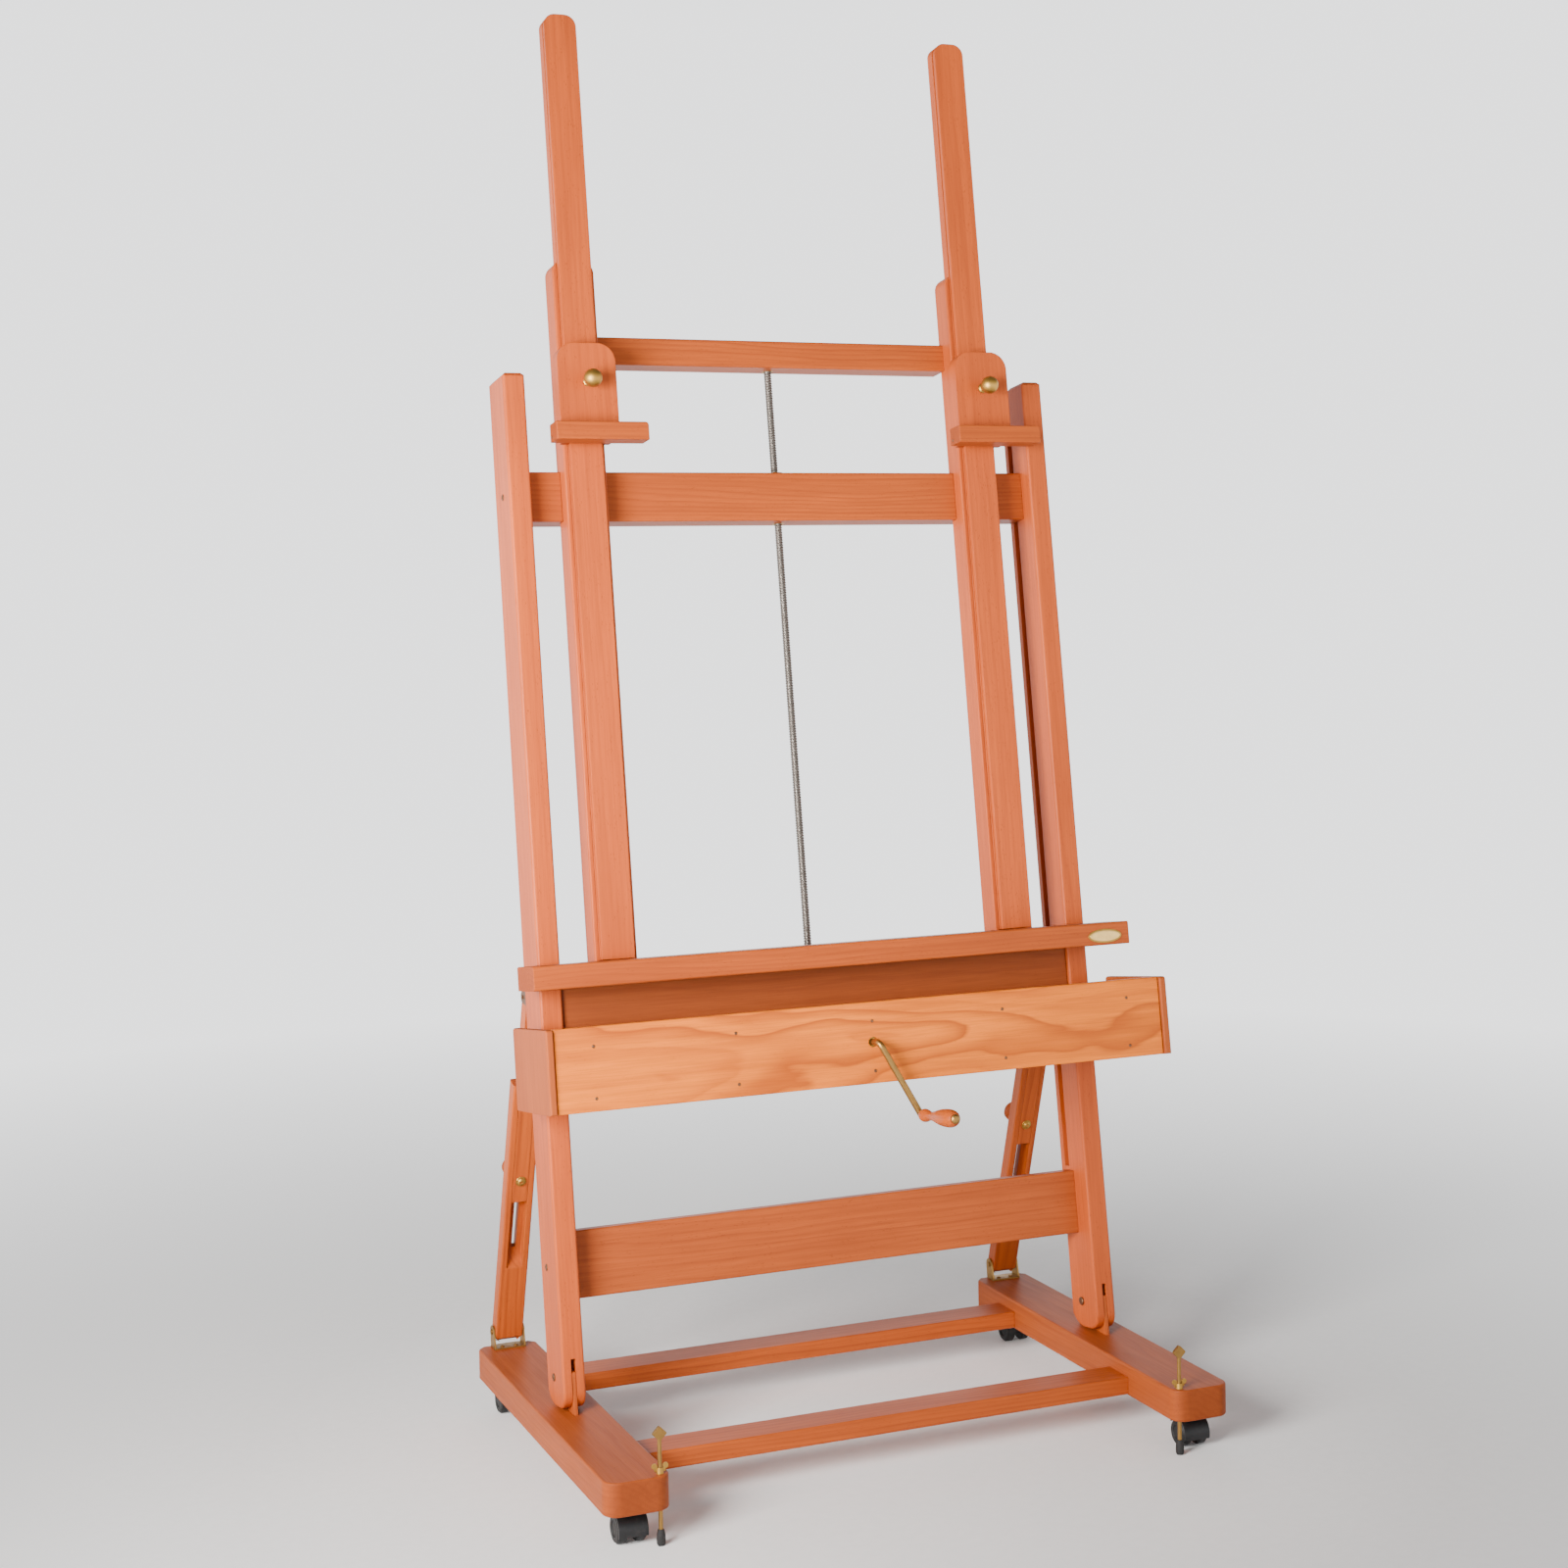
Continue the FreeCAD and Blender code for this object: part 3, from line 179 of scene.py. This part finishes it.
def grain_space(shader, node, grain, lean, pith):
    """Metres from the pith with the grain along Z, and how squarely a face shows the end grain."""
    coordinates = shader.node("ShaderNodeTexCoord")
    mapping = shader.node("ShaderNodeMapping")
    shader.join(coordinates, "Object", mapping, "Vector")
    mapping.inputs["Rotation"].default_value = (lean, 0.0, 0.0)
    mapping.inputs["Location"].default_value = [-along for along in middle_of(node, lean)]
    turned = shader.node("ShaderNodeMapping")
    shader.join(coordinates, "Normal", turned, "Vector")
    turned.inputs["Rotation"].default_value = (lean, 0.0, 0.0)
    order = {"X": ("Y", "Z", "X"), "Y": ("X", "Z", "Y"), "Z": ("X", "Y", "Z")}[grain]
    places = shader.node("ShaderNodeSeparateXYZ")
    shader.join(mapping, "Vector", places, "Vector")
    normals = shader.node("ShaderNodeSeparateXYZ")
    shader.join(turned, "Vector", normals, "Vector")
    gathered = shader.node("ShaderNodeCombineXYZ")
    for axis, target in zip(order, ("X", "Y", "Z")):
        shader.join(places, axis, gathered, target)
    place = shader.vector("ADD", gathered.outputs["Vector"], (pith[0], pith[1], 0.0))
    end_grain = shader.math("ABSOLUTE", normals.outputs[grain])
    return place, shader.between(end_grain, 0.55, 0.95)


def stretched(shader, place, across, along):
    return shader.vector("MULTIPLY", place, (across, across, along))


def growth_rings(shader, place, spacing, taper, wander, sway):
    """Late-wood bands of varied strength: rings round the pith, drawn out into arches by the log's taper."""
    slow = shader.noise(stretched(shader, place, 9.0, sway), 1.0, 2.0, 0.5, colour=True)
    drift = shader.vector("SCALE", shader.vector("SUBTRACT", slow, (0.5, 0.5, 0.5)), scale=wander * 6.0)
    wandering = shader.vector("ADD", place, drift)
    radius = shader.vector("LENGTH", shader.vector("MULTIPLY", wandering, (1.0, 1.0, 0.0)))
    along = shader.vector("DOT_PRODUCT", wandering, (0.0, 0.0, taper))
    ragged = shader.noise(stretched(shader, place, 45.0, 7.0), 1.0, 3.0, 0.55)
    ring = shader.math("DIVIDE", shader.math("ADD", radius, along), spacing)
    ring = shader.math("MULTIPLY_ADD", ragged, 0.5, ring)
    share = shader.math("FRACT", ring)
    rise = shader.between(share, 0.25, 0.88)
    fall = shader.between(share, 0.88, 1.0, 1.0, 0.0)
    number = shader.node("ShaderNodeTexWhiteNoise", noise_dimensions="1D")
    shader.put(shader.math("FLOOR", ring), number.inputs["W"])
    strength = shader.between(number.outputs["Value"], 0.0, 1.0, 0.3, 1.0)
    band = shader.math("POWER", shader.math("MULTIPLY", rise, fall), 1.5)
    return shader.math("MULTIPLY", band, strength)


def ray_flecks(shader, place):
    """Beech's short dark flecks, in scattered patches."""
    ray = shader.node("ShaderNodeTexVoronoi", feature="F1")
    shader.put(stretched(shader, place, 420.0, 105.0), ray.inputs["Vector"])
    ray.inputs["Scale"].default_value = 1.0
    fleck = shader.between(ray.outputs["Distance"], 0.10, 0.26, 1.0, 0.0)
    scarce = shader.between(shader.noise(stretched(shader, place, 90.0, 30.0), 1.0, 1.0), 0.45, 0.6)
    return shader.math("MULTIPLY", fleck, scarce)


def painted_edge_highlight(shader, place, soft):
    """How strongly each spot is lightened by a painted highlight: the rounded edges, more in some stretches
    than in others.
    """
    geometry = shader.node("ShaderNodeNewGeometry")
    flatness = shader.vector("DOT_PRODUCT", soft, geometry.outputs["Normal"])
    edge_share = shader.between(flatness, 0.90, 0.995, 1.0, 0.0)
    patchiness = shader.between(shader.noise(stretched(shader, place, 60.0, 12.0), 1.0, 2.0), 0.35, 0.7)
    return shader.math("MULTIPLY", edge_share, shader.math("MULTIPLY_ADD", patchiness, 0.35, 0.15))


def wood(name, node, grain, lean, style):
    """Oiled beech: growth rings cut by the piece's faces, fine fibre, ray flecks, darker end grain, and a
    painted highlight on the rounded edges.
    """
    chance = piece_number(name)
    pith = style.get("pith", (0.03 + 0.05 * chance, 0.05 + 0.04 * ((chance * 7.3) % 1.0)))
    shader = Shader(name)
    place, end_grain = grain_space(shader, node, grain, lean, pith)
    place = shader.vector("ADD", place, (0.0, 0.0, 3.0 * chance)) if "pith" not in style else place

    late_wood = growth_rings(shader, place, style["spacing"], style["taper"], style["wander"], style["sway"])
    fibre = shader.noise(stretched(shader, place, 620.0, 16.0), 1.0, 3.0, 0.6)
    streak = shader.noise(stretched(shader, place, 110.0, 3.2), 1.0, 3.0, 0.55)
    cloud = shader.noise(stretched(shader, place, 14.0, 2.6), 1.0, 2.0, 0.5)
    fleck = ray_flecks(shader, place)

    deep = style["deep"]
    warm = shade(style["light"], 0.95 + 0.10 * chance)
    middling = [0.6 * pale + 0.4 * dark for pale, dark in zip(warm, deep)]
    ground = shader.mix(shader.between(cloud, 0.3, 0.72), rgba(warm), rgba(middling))
    ringed = shader.mix(shader.math("MULTIPLY", late_wood, style["contrast"]), ground, rgba(deep))
    streaked = shader.mix(shader.between(streak, 0.42, 0.70, 0.0, 0.40), ringed, rgba(deep))
    fine = shader.mix(shader.between(fibre, 0.38, 0.70, 0.0, 0.28), streaked, rgba(shade(deep, 0.72)))
    flecked = shader.mix(shader.math("MULTIPLY", fleck, style["flecks"]), fine, rgba(shade(deep, 0.42)))
    ended = shader.mix(shader.math("MULTIPLY", end_grain, 0.45), flecked, rgba(shade(deep, 0.62)))

    soft = shader.soft_normal(0.0018)
    # Painted highlight: the rounded edges lightened toward a paler wood colour, in patches.
    edge = painted_edge_highlight(shader, place, soft)
    shader.put(shader.mix(edge, ended, rgba(shade(warm, 1.12))), shader.surface.inputs["Base Color"])

    rough = shader.math("MULTIPLY_ADD", fibre, 0.16, style["gloss"] - 0.08)
    rough = shader.math("MULTIPLY_ADD", cloud, 0.08, rough)
    rough = shader.math("MULTIPLY_ADD", end_grain, 0.2, rough)
    shader.put(rough, shader.surface.inputs["Roughness"])
    shader.surface.inputs["Specular IOR Level"].default_value = 0.16
    shader.surface.inputs["Coat Weight"].default_value = 0.02
    shader.surface.inputs["Coat Roughness"].default_value = 0.30

    relief = shader.math("SUBTRACT", shader.math("MULTIPLY", fibre, 0.6), fleck)
    shader.put(shader.bump(relief, 0.35, 0.00025, soft), shader.surface.inputs["Normal"])
    return shader.material


FRAME_LIGHT = (0.51, 0.090, 0.015)
FRAME_DEEP = (0.30, 0.048, 0.009)
RAIL_LIGHT = (0.44, 0.084, 0.011)
RAIL_DEEP = (0.25, 0.042, 0.007)
TRAY_LIGHT = (0.80, 0.190, 0.006)
TRAY_DEEP = (0.36, 0.064, 0.003)
# Colours for the feet, the lower board and the tray's side panels, darker and browner than the frame's:
# partly the beech's own tone, partly painted shade.
BASE_TONE_AND_SHADE_LIGHT = (0.38, 0.078, 0.013)
BASE_TONE_AND_SHADE_DEEP = (0.22, 0.039, 0.007)
# Back board colours, about half as bright as the frame's: painted shade for the shadow the board sits in
# between the ledge and the tray.
SHADED_PANEL_LIGHT = (0.27, 0.058, 0.012)
SHADED_PANEL_DEEP = (0.18, 0.034, 0.008)

STYLES = {
    "frame": dict(light=FRAME_LIGHT, deep=FRAME_DEEP, spacing=0.007, contrast=0.32, taper=0.010, wander=0.006,
                  sway=1.6, flecks=0.60, gloss=0.42),
    "rail": dict(light=RAIL_LIGHT, deep=RAIL_DEEP, spacing=0.007, contrast=0.80, taper=0.014, wander=0.008,
                 sway=1.6, flecks=0.40, gloss=0.42),
    "tray": dict(light=TRAY_LIGHT, deep=TRAY_DEEP, spacing=0.019, contrast=1.00, taper=0.055, wander=0.016,
                 sway=3.2, flecks=0.20, gloss=0.42, pith=(0.050, 0.006)),
    # The back board's darkened colours: painted shade.
    "panel": dict(light=SHADED_PANEL_LIGHT, deep=SHADED_PANEL_DEEP, spacing=0.013, contrast=0.35, taper=0.020, wander=0.012,
                  sway=2.0, flecks=0.20, gloss=0.46),
    "base": dict(light=BASE_TONE_AND_SHADE_LIGHT, deep=BASE_TONE_AND_SHADE_DEEP, spacing=0.008, contrast=0.55, taper=0.012, wander=0.008,
                 sway=1.6, flecks=0.45, gloss=0.46),
    "side": dict(light=BASE_TONE_AND_SHADE_LIGHT, deep=BASE_TONE_AND_SHADE_DEEP, spacing=0.009, contrast=0.35, taper=0.012, wander=0.006,
                 sway=1.6, flecks=0.30, gloss=0.52),
    "grip": dict(light=RAIL_LIGHT, deep=RAIL_DEEP, spacing=0.004, contrast=0.50, taper=0.010, wander=0.003,
                 sway=3.0, flecks=0.40, gloss=0.30),
    "knob": dict(light=RAIL_LIGHT, deep=RAIL_DEEP, spacing=0.005, contrast=0.50, taper=0.010, wander=0.003,
                 sway=3.0, flecks=0.40, gloss=0.36),
}

WOODS = {
    "left_outer_post": ("frame", "Z", LEAN), "right_outer_post": ("frame", "Z", LEAN),
    "left_mast": ("frame", "Z", LEAN), "right_mast": ("frame", "Z", LEAN),
    "left_slat": ("frame", "Z", LEAN), "right_slat": ("frame", "Z", LEAN),
    "left_clamp_block": ("frame", "Z", LEAN), "right_clamp_block": ("frame", "Z", LEAN),
    "left_clamp_bar": ("rail", "X", LEAN), "right_clamp_bar": ("rail", "X", LEAN),
    "left_foot": ("base", "Y", UPRIGHT), "right_foot": ("base", "Y", UPRIGHT),
    "front_stretcher": ("rail", "X", UPRIGHT), "rear_stretcher": ("rail", "X", UPRIGHT),
    "post_tongues": ("rail", "Z", UPRIGHT),
    "lower_board": ("base", "X", LEAN), "upper_crossbar": ("rail", "X", LEAN), "top_bar": ("rail", "X", LEAN),
    "canvas_ledge": ("rail", "X", LEAN), "back_board": ("panel", "X", LEAN),
    "tray_front_board": ("tray", "X", LEAN), "tray_bottom": ("tray", "X", LEAN),
    "tray_side_panels": ("side", "Z", LEAN),
    "left_strut_lower": ("rail", "Z", STRUT_LEAN), "right_strut_lower": ("rail", "Z", STRUT_LEAN),
    "left_strut_upper": ("rail", "Z", STRUT_LEAN), "right_strut_upper": ("rail", "Z", STRUT_LEAN),
    "crank_grip": ("grip", "Y", LEAN),
    "left_strut_knob": ("knob", "X", STRUT_LEAN), "right_strut_knob": ("knob", "X", STRUT_LEAN),
}


# -------------------------------------------------------------------------- metals, plastic and rubber

def metal(name, colour, roughness, tarnish, tarnish_share=0.35, brushed=False):
    """A metal with faint clouds of tarnish, fine scratches and rounded edges."""
    shader = Shader(name)
    coordinates = shader.node("ShaderNodeTexCoord")
    place = coordinates.outputs["Object"]
    cloud = shader.between(shader.noise(place, 90.0, 4.0, 0.6), 0.42, 0.75, 0.0, tarnish_share)
    spots = shader.between(shader.noise(place, 700.0, 2.0), 0.62, 0.8, 0.0, 0.5)
    toned = shader.mix(cloud, rgba(colour), rgba(tarnish))
    spotted = shader.mix(spots, toned, rgba(shade(tarnish, 0.7)))
    shader.put(spotted, shader.surface.inputs["Base Color"])
    shader.surface.inputs["Metallic"].default_value = 1.0
    stretch = (900.0, 900.0, 60.0) if brushed else (500.0, 120.0, 500.0)
    scratches = shader.noise(shader.vector("MULTIPLY", place, stretch), 1.0, 3.0, 0.7)
    rough = shader.math("MULTIPLY_ADD", scratches, 0.22, roughness - 0.10)
    rough = shader.math("MULTIPLY_ADD", cloud, 0.35, rough)
    shader.put(rough, shader.surface.inputs["Roughness"])
    normal = shader.bump(scratches, 0.12, 0.0001, shader.soft_normal(0.0005))
    shader.put(normal, shader.surface.inputs["Normal"])
    return shader.material


def moulded(name, colour, roughness, grain_scale, grain_depth):
    """Moulded plastic or rubber: fine pebble grain, dusty patches, uneven gloss."""
    shader = Shader(name)
    coordinates = shader.node("ShaderNodeTexCoord")
    place = coordinates.outputs["Object"]
    dust = shader.between(shader.noise(place, 120.0, 4.0, 0.65), 0.5, 0.8, 0.0, 0.3)
    dusty = shader.mix(dust, rgba(colour), (0.055, 0.050, 0.047, 1.0))
    shader.put(dusty, shader.surface.inputs["Base Color"])
    shader.surface.inputs["Specular IOR Level"].default_value = 0.30
    pebble = shader.noise(place, grain_scale, 2.0, 0.6)
    rough = shader.math("MULTIPLY_ADD", pebble, 0.25, roughness - 0.12)
    shader.put(rough, shader.surface.inputs["Roughness"])
    normal = shader.bump(pebble, 0.25, grain_depth, shader.soft_normal(0.0008))
    shader.put(normal, shader.surface.inputs["Normal"])
    return shader.material


BRASS = metal("polished_brass", (0.48, 0.275, 0.06), 0.42, (0.30, 0.16, 0.035), 0.45)
PALE_BRASS = metal("badge_brass", (0.92, 0.62, 0.22), 0.42, (0.66, 0.40, 0.11), 0.4)
BRASS_PLATE = metal("brass_plate", (0.34, 0.19, 0.055), 0.40, (0.20, 0.11, 0.035), 0.5)
STEEL = metal("rod_steel", (0.20, 0.18, 0.16), 0.38, (0.09, 0.075, 0.06), 0.5, brushed=True)
BROWN_STEEL = metal("browned_steel", (0.20, 0.10, 0.055), 0.45, (0.09, 0.045, 0.025), 0.5)
CAST_ZINC = metal("cast_zinc", (0.52, 0.52, 0.52), 0.50, (0.32, 0.32, 0.32), 0.6)
PLASTIC = moulded("caster_plastic", (0.012, 0.012, 0.013), 0.42, 1400.0, 0.00008)
TYRE = moulded("caster_tyre", (0.010, 0.010, 0.010), 0.55, 900.0, 0.00012)
RUBBER = moulded("tip_rubber", (0.016, 0.015, 0.015), 0.70, 1100.0, 0.0002)

FITTINGS = {
    "strut_foot_brackets": BRASS_PLATE, "strut_top_brackets": BROWN_STEEL,
    "rod_nut": BRASS, "shaft_bushes": BRASS, "badge_plate": PALE_BRASS,
    "left_clamp_knob": BRASS, "right_clamp_knob": BRASS,
    "left_leveller_wing_nut": BRASS, "right_leveller_wing_nut": BRASS,
    "left_leveller_screw": BRASS_PLATE, "right_leveller_screw": BRASS_PLATE,
    "frame_bolts": BROWN_STEEL, "base_screws": BRASS_PLATE, "caster_stems": STEEL, "tray_screws": BROWN_STEEL,
    "threaded_rod": STEEL, "rod_bevel_gear": STEEL, "crank_arm": BRASS_PLATE, "crank_bevel_gear": STEEL,
    "gearbox_housing": CAST_ZINC,
    "left_leveller_tip": RUBBER, "right_leveller_tip": RUBBER,
}


def finish_cad_nodes():
    """Materials for every CAD node."""
    for name, node in NODES.items():
        if name in WOODS:
            style, grain, lean = WOODS[name]
            material = wood(name + "_beech", node, grain, lean, STYLES[style])
        elif name in FITTINGS:
            material = FITTINGS[name]
        elif name.endswith("_caster_wheels"):
            material = TYRE
        else:
            material = PLASTIC
        node.data.materials.clear()
        node.data.materials.append(material)


# ---------------------------------------------------------------------------------------- added pieces

def leaned(x, v, t):
    """A place on the leaned frame, given across, in depth V and in height T."""
    y = POST_FRONT_Y + v * math.cos(LEAN) + t * math.sin(LEAN)
    z = FOOT_TOP - v * math.sin(LEAN) + t * math.cos(LEAN)
    return Vector((x, y, z)) / 1000.0


def piece(name, points, faces, material, body):
    """A new mesh piece that moves with a body."""
    mesh = bpy.data.meshes.new(name)
    mesh.from_pydata(points, [], faces)
    mesh.validate()
    for polygon in mesh.polygons:
        polygon.use_smooth = True
    mesh.set_sharp_from_angle(angle=math.radians(38.0))
    mesh.materials.append(material)
    made = bpy.data.objects.new(name, mesh)
    bpy.context.scene.collection.objects.link(made)
    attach(made, body)
    return made


def skin(rings):
    """Faces over equal rings of points, with caps on the first and last."""
    count = len(rings[0])
    points = [point for ring in rings for point in ring]
    faces = []
    for row in range(len(rings) - 1):
        for column in range(count):
            beside = (column + 1) % count
            low, high = row * count, (row + 1) * count
            faces.append((low + column, low + beside, high + beside, high + column))
    faces.append(tuple(reversed(range(count))))
    faces.append(tuple(range(len(points) - count, len(points))))
    return points, faces


def thread_radius(angle, t):
    """The rod's radius: a right-handed trapezoidal thread, and plain outside the threaded stretch."""
    if not THREAD_T[0] < t < THREAD_T[1]:
        return THREAD_CREST
    share = (t / THREAD_PITCH - THREAD_STARTS * angle / math.tau) % 1.0
    from_crest = min(share, 1.0 - share)
    depth = min(1.0, max(0.0, (from_crest - 0.18) / 0.14))
    return THREAD_CREST + (THREAD_ROOT - THREAD_CREST) * depth


def threaded_rod():
    """The lift rod with its thread, plain ends and collar."""
    segments = 18
    step = 0.5
    low, high = COLLAR_T
    profile = [(ROD_T[0], None), (low, None), (low, COLLAR_RADIUS), (high, COLLAR_RADIUS), (high, None)]
    profile.append((THREAD_T[0] - 0.1, None))
    t = THREAD_T[0]
    while t <= THREAD_T[1]:
        profile.append((t, None))
        t += step
    profile.append((ROD_T[1], None))
    rings = []
    for t, radius in profile:
        ring = []
        for segment in range(segments):
            angle = math.tau * segment / segments
            reach = radius or thread_radius(angle, t)
            ring.append(leaned(reach * math.cos(angle), ROD_V + reach * math.sin(angle), t))
        rings.append(ring)
    points, faces = skin(rings)
    rod = piece("lift_rod_thread", points, faces, STEEL, "lift_rod")
    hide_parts("threaded_rod")


def oval_plate(name, half_width, half_height, front_v, material):
    """An oval plate on the ledge's front face, with a rounded front edge."""
    profile = [(0.0, LEDGE_FRONT_V), (0.0, front_v + 0.35), (0.12, front_v + 0.12), (0.4, front_v)]
    profile.append((3.0, front_v))
    rings = []
    for inset, v in profile:
        ring = []
        for step in range(96):
            angle = math.tau * step / 96
            x = BADGE_X + (half_width - inset) * math.cos(angle)
            t = BADGE_T + (half_height - inset) * math.sin(angle)
            ring.append(leaned(x, v, t))
        rings.append(ring)
    points, faces = skin(rings)
    return piece(name, points, faces, material, "carriage")


def badge():
    """The blank oval badge: a brass rim with a paler field in it."""
    rim = oval_plate("badge_rim", 29.5, 11.0, -84.8, BRASS)
    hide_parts("badge_plate")
    oval_plate("badge_field", 26.5, 8.4, -85.1, PALE_BRASS)


def turned_piece(name, outline, centre, outward, to_world, material, body):
    """A small turned piece, from (radius, distance outward) points; to_world gives its world place."""
    middle = Vector(centre)
    out = Vector(outward)
    side = out.orthogonal().normalized()
    other = out.cross(side)
    rings = []
    for reach, rise in outline:
        ring = []
        for step in range(24):
            angle = math.tau * step / 24
            round_middle = side * (reach * math.cos(angle)) + other * (reach * math.sin(angle))
            ring.append(to_world(*(middle + round_middle + out * rise)))
        rings.append(ring)
    points, faces = skin(rings)
    piece(name, points, faces, material, body)


def wood_screw(name, centre, outward, radius, height, body):
    """A low domed screw head with a driving recess, standing on a face of the leaned frame."""
    dome = [(radius, -0.3), (radius, 0.25 * height), (0.8 * radius, 0.8 * height), (0.5 * radius, height)]
    recess = [(0.4 * radius, height), (0.3 * radius, 0.3 * height)]
    turned_piece(name, dome + recess, centre, outward, leaned, BROWN_STEEL, body)


def clamp_screws():
    """On each clamp: a screw in the bar's left end and one under the block beside the slat."""
    for side, mast_x in (("left", -MAST_X), ("right", MAST_X)):
        body = side + "_clamp"
        wood_screw(side + "_bar_end_screw", (mast_x - 63.5, -38.0, 1425.0), (-1, 0, 0), 2.2, 0.6, body)
        wood_screw(side + "_block_screw", (mast_x - 36.0, -14.0, 1423.0), (0, 0, -1), 2.6, 1.6, body)


def strut_bolt_heads():
    """The brass washer and head of each strut's clamping bolt, on the strut's front."""
    washer = [(8.3, 0.05), (8.3, 1.1), (7.9, 1.5), (5.9, 1.6)]
    head = [(5.9, 2.7), (3.8, 4.5), (1.6, 4.6), (1.2, 3.4)]
    for side, sign in (("left", -1.0), ("right", 1.0)):

        def from_strut(x, n, s, sign=sign):
            y = STRUT_HINGE_Y + n * math.cos(STRUT_LEAN) + s * math.sin(STRUT_LEAN)
            z = STRUT_HINGE_Z - n * math.sin(STRUT_LEAN) + s * math.cos(STRUT_LEAN)
            return Vector((sign * STRUT_X + x, y, z)) / 1000.0

        turned_piece(side + "_strut_bolt_head", washer + head, (0.0, -12.0, 274.0), (0, -1, 0), from_strut,
                     BRASS, side + "_strut_knob")


# ------------------------------------------------------------------------------------- stage and light

def floor():
    """A wide pale floor that fades into the surround."""
    mesh = bpy.data.meshes.new("floor")
    made = bmesh.new()
    bmesh.ops.create_circle(made, cap_ends=True, segments=96, radius=40.0)
    made.to_mesh(mesh)
    made.free()
    plane = bpy.data.objects.new("floor", mesh)
    bpy.context.scene.collection.objects.link(plane)
    shader = Shader("floor_paper")
    coordinates = shader.node("ShaderNodeTexCoord")
    distance = shader.vector("LENGTH", coordinates.outputs["Object"])
    far = shader.between(distance, 0.9, 3.8)
    tooth = shader.noise(coordinates.outputs["Object"], 60.0, 3.0, 0.6)
    paper = shader.mix(shader.between(tooth, 0.3, 0.7), (0.88, 0.875, 0.87, 1.0), (0.91, 0.905, 0.90, 1.0))
    shader.put(shader.mix(far, paper, (0.0, 0.0, 0.0, 1.0)), shader.surface.inputs["Base Color"])
    shader.surface.inputs["Roughness"].default_value = 0.9
    shader.surface.inputs["Specular IOR Level"].default_value = 0.0
    shader.surface.inputs["Emission Color"].default_value = rgba(SURROUND)
    shader.put(shader.math("MULTIPLY", far, SURROUND_LIGHT), shader.surface.inputs["Emission Strength"])
    mesh.materials.append(shader.material)


def area_light(name, place, target, size, power, spread, colour=(1.0, 1.0, 1.0)):
    data = bpy.data.lights.new(name, "AREA")
    data.shape = "SQUARE"
    data.size = size
    data.energy = power
    data.spread = math.radians(spread)
    data.color = colour
    lamp = bpy.data.objects.new(name, data)
    lamp.location = place
    lamp.rotation_euler = (Vector(target) - Vector(place)).to_track_quat("-Z", "Y").to_euler()
    bpy.context.scene.collection.objects.link(lamp)


def surround():
    """A pale surround, bright round the horizon and dimmer overhead."""
    world = bpy.data.worlds.new("studio")
    bpy.context.scene.world = world
    world.use_nodes = True
    tree = world.node_tree
    background = tree.nodes["Background"]
    direction = tree.nodes.new("ShaderNodeTexCoord")
    parts = tree.nodes.new("ShaderNodeSeparateXYZ")
    fall = tree.nodes.new("ShaderNodeMapRange")
    fall.interpolation_type = "SMOOTHSTEP"
    fall.inputs["From Min"].default_value = 0.22
    fall.inputs["From Max"].default_value = 0.38
    fall.inputs["To Min"].default_value = SURROUND_LIGHT
    fall.inputs["To Max"].default_value = OVERHEAD_LIGHT
    tree.links.new(direction.outputs["Generated"], parts.inputs["Vector"])
    tree.links.new(parts.outputs["Z"], fall.inputs["Value"])
    tree.links.new(fall.outputs["Result"], background.inputs["Strength"])
    background.inputs["Color"].default_value = rgba(SURROUND)


def lights():
    """Soft studio light: a key from the left front, a weak fill from the right and a weak light behind."""
    area_light("key", (-2.1, -1.4, 1.30), (-0.2, 0.1, 1.0), 1.1, 68.0, 95.0, (1.0, 0.98, 0.95))
    area_light("fill", (3.4, -3.2, 1.6), (0.0, 0.0, 1.2), 2.4, 9.0, 180.0)
    area_light("back", (1.6, 3.4, 2.6), (0.0, 0.0, 1.0), 2.0, 25.0, 180.0)
    surround()


def camera():
    """The main camera: from the left front, a little above the middle, with a slight roll."""
    azimuth = math.radians(-22.321)
    elevation = math.radians(1.985)
    roll = math.radians(-0.988)
    data = bpy.data.cameras.new("camera")
    data.sensor_width = 36.0
    data.lens = 55.70
    data.shift_y = -0.07
    eye = bpy.data.objects.new("camera", data)
    bpy.context.scene.collection.objects.link(eye)
    level = math.cos(elevation)
    back = Vector((math.sin(azimuth) * level, -math.cos(azimuth) * level, math.sin(elevation)))
    upright = (-back).to_track_quat("-Z", "Y").to_matrix()
    eye.matrix_world = (upright @ Matrix.Rotation(roll, 3, "Z")).to_4x4()
    eye.location = (-1.4569, -3.3617, 1.2812)
    bpy.context.scene.camera = eye


finish_cad_nodes()
threaded_rod()
badge()
clamp_screws()
strut_bolt_heads()
floor()
lights()
camera()
